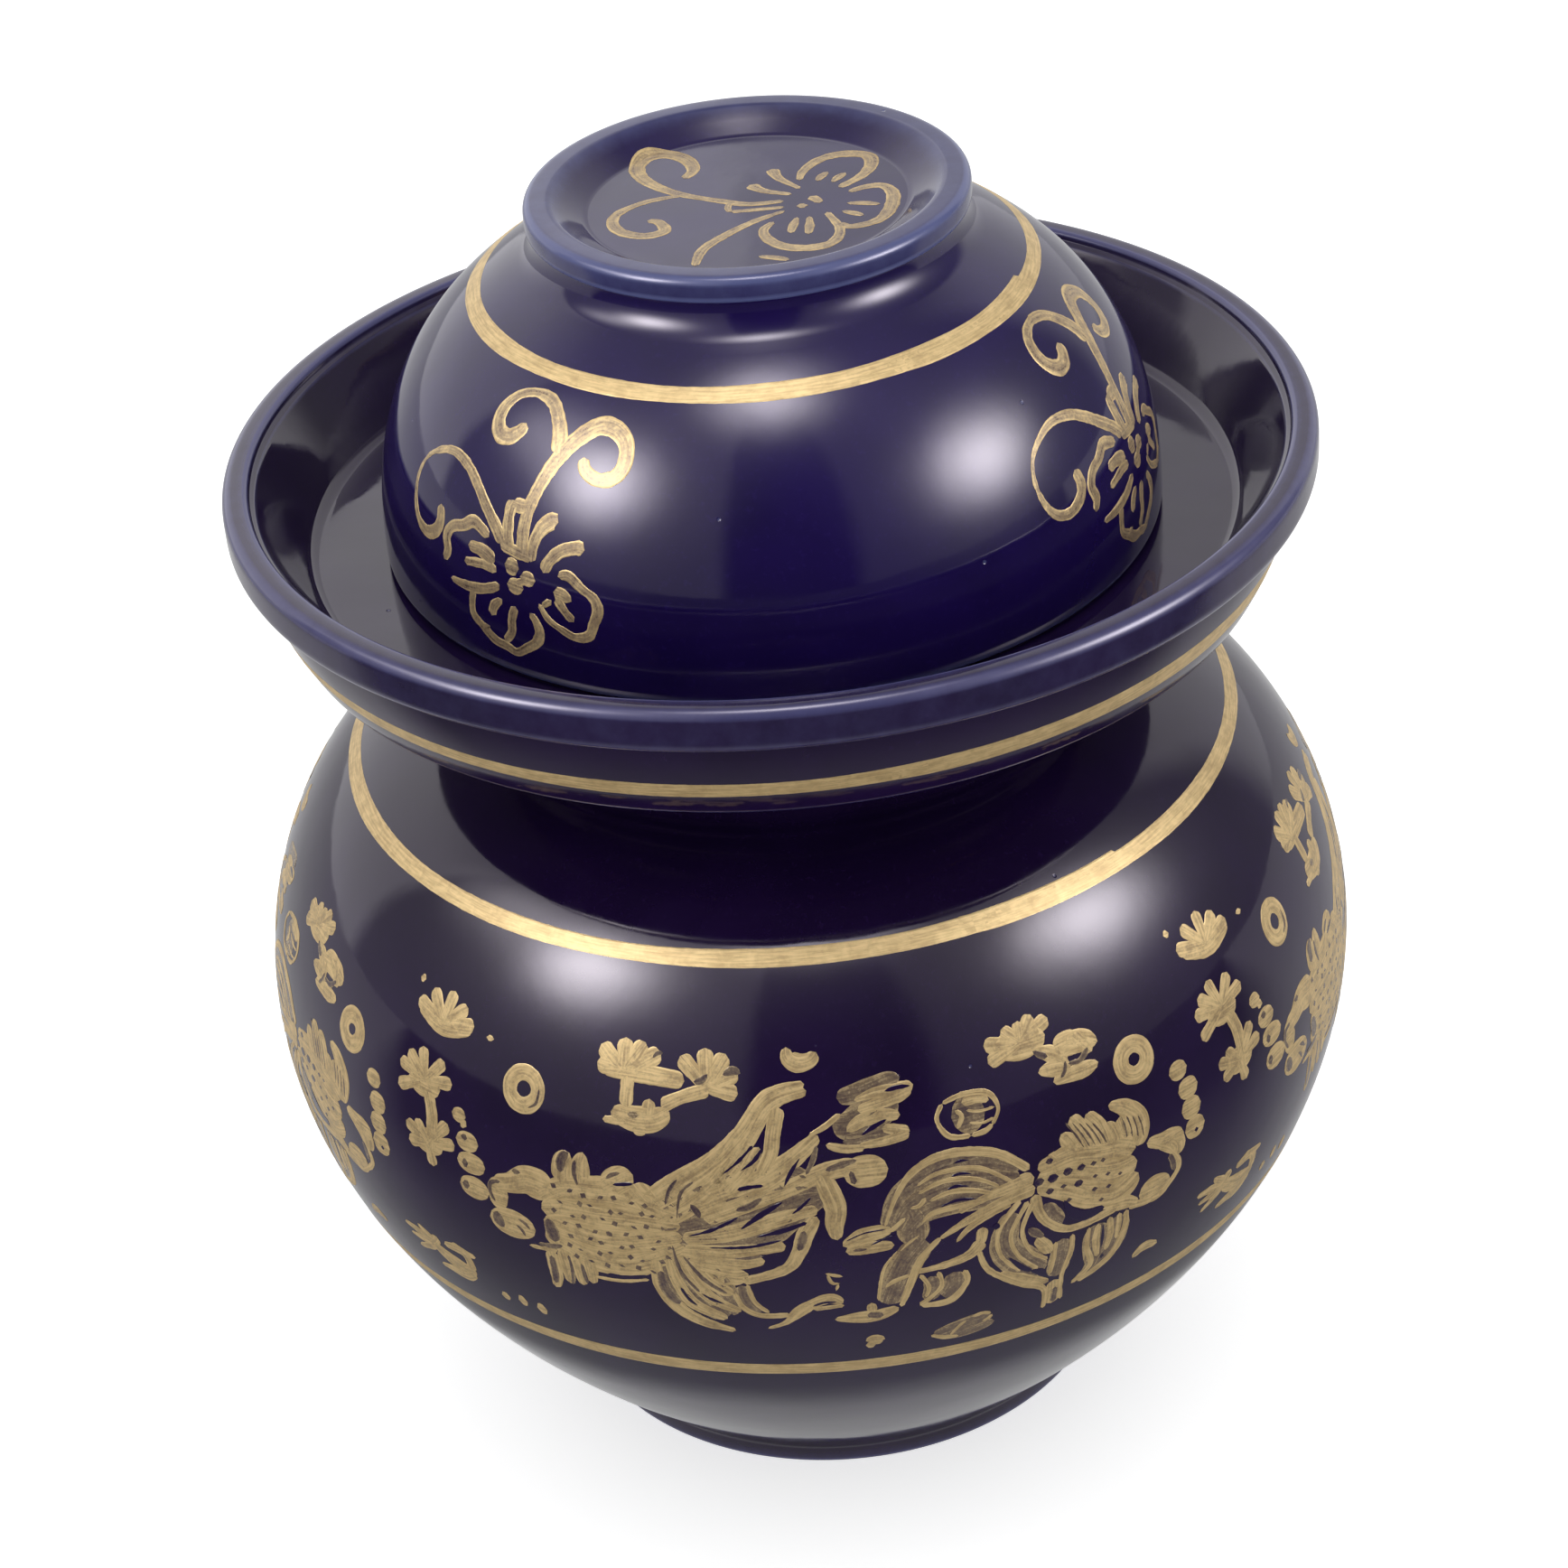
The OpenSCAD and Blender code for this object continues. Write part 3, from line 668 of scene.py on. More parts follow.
def gold_finish(name, gold, worn, glaze, satin):
    """Gold lustre laid on with a brush: full at a stroke's edges, streaked where it ran thin."""
    finish, tree, shader = new_finish(name)
    here = put(tree, "ShaderNodeTexCoord").outputs["Object"]
    brush = attribute(tree, "brush", "Vector")
    across = calc(tree, "ABSOLUTE", attribute(tree, "across"))
    full = attribute(tree, "full")
    parts = split(tree, brush)
    # Streaks that the bristles leave along a stroke, and dry patches across it
    hair = noise_at(tree, join(tree, calc(tree, "MULTIPLY", parts[0], 150.0),
                               calc(tree, "MULTIPLY", parts[1], 2600.0), parts[2]), 1.0, 3.0, 0.6)
    dry = noise_at(tree, here, 420.0, 4.0, 0.65, 0.5)
    rough_hair = calc(tree, "SUBTRACT", hair, 0.5)
    rough_dry = calc(tree, "SUBTRACT", dry, 0.5)
    grain = calc(tree, "SUBTRACT", noise_at(tree, here, 2300.0, 3.0, 0.6), 0.5)
    pooled = calc(tree, "MULTIPLY", remap(tree, across, 0.5, 0.95), 0.22)
    load = calc(tree, "ADD", calc(tree, "ADD", full, pooled),
                calc(tree, "ADD", calc(tree, "MULTIPLY", rough_hair, 0.34),
                     calc(tree, "ADD", calc(tree, "MULTIPLY", rough_dry, 0.45),
                          calc(tree, "MULTIPLY", grain, 0.55))))
    # Half a load of paint covers far less than half
    cover = calc(tree, "POWER", remap(tree, load, 0.0, 0.95, how="LINEAR"), 1.9)
    cover = calc(tree, "MULTIPLY", cover, remap(tree, full, 0.02, 0.1))
    tone = blend(tree, remap(tree, calc(tree, "ADD", hair, calc(tree, "MULTIPLY", dry, 0.6)),
                             0.55, 1.05), worn, gold)
    link(tree, blend(tree, cover, glaze, tone), shader.inputs["Base Color"])
    link(tree, calc(tree, "MULTIPLY", cover, 0.45), shader.inputs["Metallic"])
    rough = remap(tree, cover, 0.0, 1.0, 0.12, satin, "LINEAR")
    rough = calc(tree, "ADD", rough, calc(tree, "MULTIPLY", calc(tree, "SUBTRACT", hair, 0.5),
                                          0.22), clamp=True)
    link(tree, rough, shader.inputs["Roughness"])
    shader.inputs["IOR"].default_value = 1.5
    relief = calc(tree, "ADD", calc(tree, "MULTIPLY", cover, 0.000004),
                  calc(tree, "MULTIPLY", hair, 0.000008))
    bump = put(tree, "ShaderNodeBump", {"Height": relief, "Strength": 1.0, "Distance": 1.0})
    link(tree, bump.outputs[0], shader.inputs["Normal"])
    return finish


# Construction meshes

def profile_object(name, outline, bare_where, thin_where, soft=0.32, fine=0.008, longest=2.8):
    """A profile's points in order, as a mesh with how thin the glaze is and where clay is bare."""
    points, thin = glaze_outline(outline, soft, fine, longest)
    thin = np.maximum(thin, [thin_where(r, z) for r, z in points])
    bare = np.array([bare_where(r, z) for r, z in points])
    mesh = bpy.data.meshes.new(name)
    mesh.from_pydata([(r * MM, 0.0, z * MM) for r, z in points],
                     [(i, i + 1) for i in range(len(points) - 1)], [])
    for key, values in (("thin", thin), ("bare", bare)):
        mesh.attributes.new(key, "FLOAT", "POINT").data.foreach_set("value", values)
    made = bpy.data.objects.new(name, mesh)
    bpy.context.scene.collection.objects.link(made)
    return made


def profile_start(profile, r, z):
    """Length along a profile to its point nearest (r, z), in metres."""
    points = np.array([(v.co.x, v.co.z) for v in profile.data.vertices])
    near = np.argmin(np.hypot(points[:, 0] - r * MM, points[:, 1] - z * MM))
    return float(run_along(points)[near])


def side_by_side(stroke, widest=3.6, pull_half=2.4):
    """A wide stroke as narrower pulls of the brush, each a little over the next."""
    line = np.array(stroke["line"], float)
    if line[:, 2].max() <= widest:
        return [stroke]
    count = math.ceil(line[:, 2].max() / pull_half)
    ahead = np.gradient(line[:, :2], axis=0)
    ahead /= np.linalg.norm(ahead, axis=1, keepdims=True)
    across = np.stack([-ahead[:, 1], ahead[:, 0]], 1)
    pulls = []
    for k in range(count):
        off = (2 * k + 1 - count) / count * line[:, 2:]
        pulls.append({**stroke, "tip": 1.0, "line": np.concatenate(
            [line[:, :2] + across * off, 1.3 * line[:, 2:] / count], 1)})
    return pulls


def stroke_object(name, strokes):
    """The middle lines of strokes, in millimetres on a flat sheet, as a mesh of edges."""
    spots, edges, half, full, layer, seed, tip = [], [], [], [], [], [], []
    pulls = [narrow for stroke in strokes for narrow in side_by_side(stroke)]
    for number, stroke in enumerate(pulls):
        line = stroke["line"]
        for k, (x, y, w) in enumerate(line):
            if k:
                edges.append((len(spots) - 1, len(spots)))
            spots.append((x * MM, y * MM, 0.0))
            half.append(w * MM)
            full.append(stroke.get("full", 0.6))
            layer.append(stroke.get("layer", 0) * 0.000006)
            seed.append((number * 7.31) % 50.0)
            tip.append(stroke.get("tip", 1.0))
    mesh = bpy.data.meshes.new(name)
    mesh.from_pydata(spots, edges, [])
    for key, values in (("half_width", half), ("full", full), ("layer", layer), ("seed", seed),
                        ("tip", tip)):
        mesh.attributes.new(key, "FLOAT", "POINT").data.foreach_set("value", values)
    made = bpy.data.objects.new(name, mesh)
    bpy.context.scene.collection.objects.link(made)
    return made


WORKSHOP = {}


def tree_of(key, maker):
    if key not in WORKSHOP:
        WORKSHOP[key] = maker()
    return WORKSHOP[key]


def paint(name, strokes, on, body, slot="gold", **values):
    """Brushes strokes onto one of the shells and gives the piece, riding on that shell's body."""
    profile, shell, sheet, start = WORKSHOP[on]
    source = stroke_object(name + "_lines", strokes)
    look = bpy.context.scene.pickle_jar_gold
    settings = {"Profile": profile, "Shell": shell, "Sheet radius": sheet * MM,
                "Profile start": start, "Paint thickness": look.thickness,
                "Gold": WORKSHOP["gold on lid" if on == "bowl" else "gold on jar"], **values}
    piece = bake(name, source, tree_of("brush", brush_tree), settings)
    drop(source)
    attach(piece, body)
    return piece


def turn_shell(name, outline, bare_where, finish, body, node, ripple, seed, keep=None,
               sheet=None, start=None, thin_where=lambda r, z: 0.0):
    """Turns a profile into a closed glazed shell that stands for its CAD node."""
    look = bpy.context.scene.pickle_jar_shells
    profile = profile_object(name + "_profile", outline, bare_where, thin_where)
    shell = bake(name, profile, tree_of("shell", turned_shell_tree),
                 {"Sides": look.sides, "Throwing ripple": ripple, "Seed": seed, "Glaze": finish})
    face_out(shell)
    if keep:
        WORKSHOP[keep] = (profile, shell, sheet, profile_start(profile, *start))
    else:
        drop(profile)
    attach(shell, body)
    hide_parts(node)
    return shell


# Brush strokes, in millimetres on a flat sheet

def pull(widths, *spots, full=0.92, layer=1, tip=1.0):
    """One pull of the brush through its spots; its half width runs evenly through the widths."""
    half = np.interp(np.linspace(0, 1, len(spots)), np.linspace(0, 1, len(widths)), widths)
    return {"line": [(x, y, w) for (x, y), w in zip(spots, half)], "full": full,
            "layer": layer, "tip": tip}


def wash(widths, *spots):
    """Thin paint under a fin's or a tail's outlines."""
    return pull(widths, *spots, full=0.5, layer=0)


def fine(widths, *spots):
    """A full line over the paint below it."""
    return pull(widths, *spots, full=1.0, layer=3)


def faint(widths, *spots):
    """A place where the brush ran nearly dry in full paint."""
    return pull(widths, *spots, full=0.4, layer=4)


def gap(widths, *spots):
    """A place left open in the paint, down to the glaze."""
    return pull(widths, *spots, full=0.0, layer=6)


def blob(x, y, rx, ry=None, full=0.92, layer=1):
    """A round or oval spot."""
    ry = ry or rx
    return pull((ry,), (x - rx, y), (x, y), (x + rx, y), full=full, layer=layer, tip=rx / ry)


def ring(x, y, r, w, full=0.95, layer=1):
    """A ring, closed by going on over its start."""
    turn = [math.radians(a) for a in range(-40, 341, 20)]
    return pull((w * 0.94, w, w * 1.04), *[(x + r * math.cos(a), y + r * math.sin(a))
                                           for a in turn], full=full, layer=layer, tip=0.3)


def fan(x, y, tips, w=1.3):
    """Petals pressed out from one place, thickest at their tips."""
    return [pull((0.6 * w, 0.9 * w, w), (x, y), ((x + 2 * a) / 3, (y + 2 * b) / 3), (a, b))
            for a, b in tips]


def shifted(strokes, dx, dy=0.0):
    """The same strokes at another place on the sheet."""
    return [{**stroke, "line": [(x + dx, y + dy, w) for x, y, w in stroke["line"]]}
            for stroke in strokes]


def band_line(sheet, y, half, start, past, aside, sway=0.12):
    """A band brushed on a wheel: once round and a little past its start, drifting aside there."""
    begin = math.radians(start) * sheet
    around = 2 * math.pi * sheet
    length = around + past
    line = []
    for x in np.arange(0.0, length, 3.0):
        a = x / sheet
        off = sway * (math.sin(2 * a + 0.7) + 0.6 * math.sin(5 * a + 2.1))
        slip = 0.35 * sway * 6 * max(0.0, 1 - x / 9.0)
        swell = 1 + 0.06 * math.sin(3 * a + 1.3) + 0.04 * math.sin(11 * a)
        drift = aside * min(1.0, max(0.0, (x - around + 9.0) / (past + 9.0)))
        line.append((begin + x, y + off + slip + drift, half * swell))
    return line


# Motifs: a quarter of the belly holds one goldfish facing each way, with flowers between them

def full_fish():
    """The goldfish in full gold: it faces left, with bubbles at its mouth."""
    head = [
        pull((1.6, 2.0, 2.9, 3.4), (-61, 7.9), (-57.5, 8.8), (-54, 10.2), (-49, 9.4)),
        blob(-60.3, 5.9, 2.2, 3.3), faint((0.4, 0.5, 0.3), (-59.6, 8.5), (-61.6, 7.7),
                                          (-61.9, 5.8), (-61, 4)),
        blob(-59.6, 6, 0.35, full=0.0, layer=6), blob(-58, 0.3, 4.7, 3.1),
        faint((0.9, 1.3, 0.9), (-60.9, 2), (-60.9, 0.3), (-59.9, -1.1)),
        faint((0.2, 0.4, 0.3), (-56.6, 1.8), (-55.4, 1.3), (-54.4, 0.2)),
        faint((0.2, 0.4, 0.2), (-57.2, 0.4), (-56.2, -0.4), (-55.6, -1.7)),
    ]
    bubbles = [blob(-68.8, 18.4, 1.6, 1.4), pull((1.0, 0.8), (-68.4, 17.4), (-66.9, 16.8)),
               blob(-66.7, 14, 2.5, 1.9), blob(-65.8, 10, 3.1, 2.1), blob(-65.4, 5.2, 3.2, 2.3),
               faint((0.6, 0.9), (-68.1, 14.8), (-66.6, 14.6)),
               faint((1.0, 1.1), (-67.8, 9.6), (-66.4, 9.8)),
               faint((1.1, 1.3), (-68, 5.4), (-66.4, 5.2))]
    body = [
        pull((4.4, 7.6, 9.2, 9.3, 7.0, 4.0), (-51.4, 4.2), (-47.5, 4.4), (-42, 4), (-36.5, 4.3),
             (-31, 5), (-26, 5.4), tip=0.35),
        faint((0.9, 1.4, 1.1), (-50.5, 3.6), (-49.9, 1.2), (-49.6, -1.1)),
        faint((0.3, 0.6, 0.4), (-53.2, -2.4), (-50.5, -2.3), (-48.3, -1.6)),
        pull((0.3, 0.5, 0.7), (-55.2, -3.5), (-52.5, -3.4), (-49.5, -3)),
        fine((0.35, 0.4, 0.3), (-43, -7.3), (-38, -7.1), (-33, -5.8)),
        gap((0.2, 0.45, 0.2), (-40.4, -5.9), (-37, -6), (-33.2, -4.9)),
        blob(-56.2, 11.4, 0.9, 0.6, full=0.45, layer=4),
    ]
    scales = []
    for row in range(7):
        for place in range(7):
            x = -48.6 + 2.8 * place + 1.4 * (row % 2) + 0.5 * math.sin(3.1 * place + row)
            y = -3.6 + 2.3 * row + 0.35 * math.sin(1.7 * place + 2.3 * row)
            size = 0.32 + 0.42 * math.sin(4.7 * place + 1.9 * row) ** 2
            lean = 0.35 * math.sin(2.9 * place + 0.8 * row)
            if not -47.8 > x > -52 or y > 5:
                scales.append(faint((0.8 * size, size, 0.7 * size), (x - 0.6, y - lean), (x, y),
                                    (x + 0.55, y + lean)))
    fins = [
        pull((1.9, 1.9, 1.0), (-47.2, 11.5), (-47, 15.4), (-45.6, 17.3)),
        pull((2.0, 1.8, 0.6), (-43.9, 12), (-43.7, 15.4), (-43.2, 18)),
        faint((0.7, 1.0, 0.6), (-47.4, 13.4), (-47.2, 16), (-45.9, 17.4)),
        faint((0.3, 0.5, 0.2), (-44.6, 16.3), (-44.8, 14), (-44.2, 11.6)),
        pull((2.6, 2.6, 1.7), (-39.5, 12), (-36, 14.4), (-33.9, 15.4)),
        pull((2.4, 2.6), (-34.2, 13.6), (-30.5, 9.5)),
        faint((0.2, 0.45, 0.3), (-39, 13.9), (-37.8, 14.9), (-36.3, 15.4)),
        gap((0.2, 0.35, 0.2), (-37.7, 13.1), (-36, 13.4), (-33.9, 13.8)),
        pull((1.2, 1.4, 1.2, 0.7), (-50.9, -3.4), (-50.8, -7), (-50.9, -10), (-51.6, -12.6)),
        pull((1.2, 1.3, 0.8), (-48.5, -2.6), (-48.2, -7), (-48.2, -10.5)),
        pull((1.2, 1.2, 0.8), (-46.2, -3), (-45.8, -7), (-45.7, -10.2)),
        pull((1.5, 1.3, 0.8), (-43.8, -3.5), (-43.6, -6.5), (-43.7, -9.2)),
        faint((0.6, 0.8, 0.5), (-51, -4.6), (-51, -8.5), (-51.4, -11.4)),
        faint((0.3, 0.4, 0.3), (-47.5, -3.5), (-47.3, -7), (-47.8, -10.6)),
        faint((0.3, 0.5, 0.3), (-45.2, -4.8), (-45, -7.5), (-44.8, -9.6)),
    ]
    tail = [
        wash((3.0, 6.5, 8.0, 5.5, 2.0), (-30, 6), (-22, 9), (-14, 11), (-7, 13), (-1.5, 13)),
        wash((2.5, 5.0, 4.5, 2.0), (-30, 1), (-25.5, -4), (-22, -9), (-20, -13.5)),
        pull((3.4, 3.7, 2.8, 1.9, 1.7, 1.2), (-31, 8.5), (-25.3, 12.6), (-19, 18),
             (-14.2, 24), (-9.8, 29.9), (-3.3, 31.7)),
        pull((1.4, 1.35, 1.3, 1.5), (-12, 16.8), (-10.2, 20.5), (-9.5, 24), (-8.4, 28.8)),
        pull((2.0, 1.7, 0.7), (-20, 14.8), (-16, 19.4), (-13.5, 23.6)),
        pull((2.0, 1.5, 0.7), (-18, 13.6), (-14.4, 17.6), (-12, 21.9)),
        pull((2.6, 2.7, 2.3, 1.7, 1.0), (-24, 9.8), (-17, 13), (-11, 16.2), (-6, 19.8),
             (-1.8, 23.2)),
        pull((1.8, 1.8, 1.7, 1.7, 1.6), (-22, 8.2), (-14, 11.8), (-7, 14.4), (-1, 16.6),
             (4.5, 17.2)),
        blob(5.7, 15.9, 3.8, 3.0),
        pull((1.6, 2.0, 1.8, 1.6, 0.9), (-1.8, 16), (-0.6, 12.6), (0.2, 9.6), (-0.2, 6.6),
             (0, 3.6)),
        pull((1.4, 1.8, 1.7, 1.3, 1.1), (-26, 4), (-18, 5.6), (-11, 8), (-6, 9.4), (-2.8, 10)),
        pull((1.4, 1.4, 1.0), (-26, 1.8), (-17.5, 2), (-8.7, 3.1)),
        pull((1.9, 2.2, 1.5, 0.7), (-27, 0.4), (-20.5, 0), (-15.5, -0.3), (-12.4, 0)),
        pull((2.2, 2.9, 2.0, 0.8), (-26, -1.2), (-20, -3), (-17.2, -3.4), (-15.4, -2.9)),
        pull((1.0, 1.5, 1.3, 1.1, 0.9), (-3.1, 8.6), (-5.2, 5.4), (-6.6, 1.6), (-9.2, -2),
             (-16.6, -4.7)),
        pull((1.0, 1.4, 1.5, 1.3, 0.6), (-31.2, -1), (-30.9, -7), (-28.4, -12), (-24.4, -15.2),
             (-18.9, -17.2)),
        pull((1.0, 1.3, 1.5, 1.1), (-28.8, -0.5), (-27.9, -5.5), (-25.6, -10.5), (-20, -13.9)),
        pull((1.0, 1.4, 1.5, 0.8), (-27, 0), (-25, -5), (-22, -9.2), (-17.4, -11.9)),
        pull((1.2, 1.7, 1.3), (-25, -1), (-22, -5), (-18.3, -7.8)),
        wash((1.0, 1.5, 1.0), (-16.8, -5.5), (-16.2, -9), (-14.2, -12.3)),
        fine((0.4, 0.5, 0.4), (-15.8, -5.3), (-14.9, -9.5), (-12.6, -12.2)),
        fine((0.5, 0.6, 0.7, 0.6), (-18.1, -7.4), (-17, -10.8), (-14, -12.9), (-9, -12.8)),
        pull((0.3, 0.6, 1.2, 1.2, 1.2, 0.8), (-13.2, -16.4), (-10, -14.9), (-7.6, -12.3),
             (-5, -10.4), (-2, -9.3), (0.2, -10.7)),
        pull((0.5, 0.5), (-5, -11.7), (0.4, -11.3)),
        gap((0.15, 0.3, 0.2), (-5, -10.9), (-3, -10.2), (-0.9, -10.3)),
        fine((0.25, 0.35, 0.2), (-2.5, -3.4), (-1, -4), (0.4, -4.4)),
        fine((0.25, 0.35, 0.2), (-2.2, -3.6), (-1.5, -5.7), (-0.2, -5.9)),
        fine((0.3, 0.25), (-0.4, -6), (-0.9, -7.6)),
    ]
    slits = [
        gap((0.1, 0.3, 0.2), (-18.2, 17), (-15.5, 19.4), (-13, 22.2)),
        gap((0.1, 0.35, 0.2), (-15.3, 17.6), (-13, 19.4), (-11.5, 21.6)),
        gap((0.3, 0.45, 0.2), (-16, 14.1), (-14, 14.6), (-11.6, 14.9)),
        gap((0.1, 0.35, 0.15), (-25, 4.6), (-20.5, 6.3), (-16.2, 8.9)),
        gap((0.15, 0.55, 0.2), (-16, 6.5), (-12.5, 9.3), (-8.6, 11.8)),
        gap((0.1, 0.4, 0.1), (-8.2, 14.6), (-7, 17), (-5.2, 19.6)),
        gap((0.15, 0.35, 0.15), (-7.2, 9.4), (-5.5, 10.7), (-3.8, 12.3)),
        gap((0.1, 0.5, 0.3), (-13.5, 5), (-9, 6.2), (-4.8, 7.6)),
        gap((0.1, 0.35, 0.2), (-21.5, 2.5), (-15, 2.9), (-9.4, 4.3)),
        faint((0.15, 0.3, 0.15), (-17.5, 0.4), (-15, 0.6), (-12.6, 1)),
        faint((0.2, 0.4, 0.2), (-28.4, 10.5), (-27.5, 13.4), (-26, 15.5)),
        faint((0.15, 0.3, 0.15), (-26.6, 8), (-25.6, 12.8), (-23.2, 15.3)),
        faint((0.5, 0.7, 0.3), (-24, 11), (-23, 9.5), (-22.6, 8.4)),
        faint((0.4, 0.7, 0.3), (-16.5, 10.2), (-14.2, 11), (-12, 12.6)),
        faint((0.4, 0.7, 0.3), (-1, 16.9), (1.8, 17.6), (4.4, 18.1)),
        faint((0.5, 0.6), (3.2, 16.3), (3.7, 13.8)),
        faint((0.5, 0.9, 0.5), (-5.4, 6), (-5.9, 4), (-6.6, 2)),
        faint((0.3, 0.5, 0.3), (-4.4, 16.5), (-3, 19), (-2.2, 21.5)),
        faint((0.8, 1.1, 0.9), (-30.6, -3.4), (-30.2, -7.5), (-28.2, -11)),
        faint((0.2, 0.4, 0.3), (-27.9, 2.4), (-27, -3), (-24.2, -7.6)),
        faint((0.2, 0.5, 0.3), (-26.2, 0.3), (-23, -4.6), (-19.4, -7.6)),
        gap((0.15, 0.4, 0.2), (-27.5, -6.8), (-26.4, -9.4), (-25, -11)),
        gap((0.1, 0.35, 0.2), (-23.9, -7.9), (-22.2, -9.2), (-20.2, -10.1)),
    ]
    return tail + body + fins + head + bubbles + scales + slits


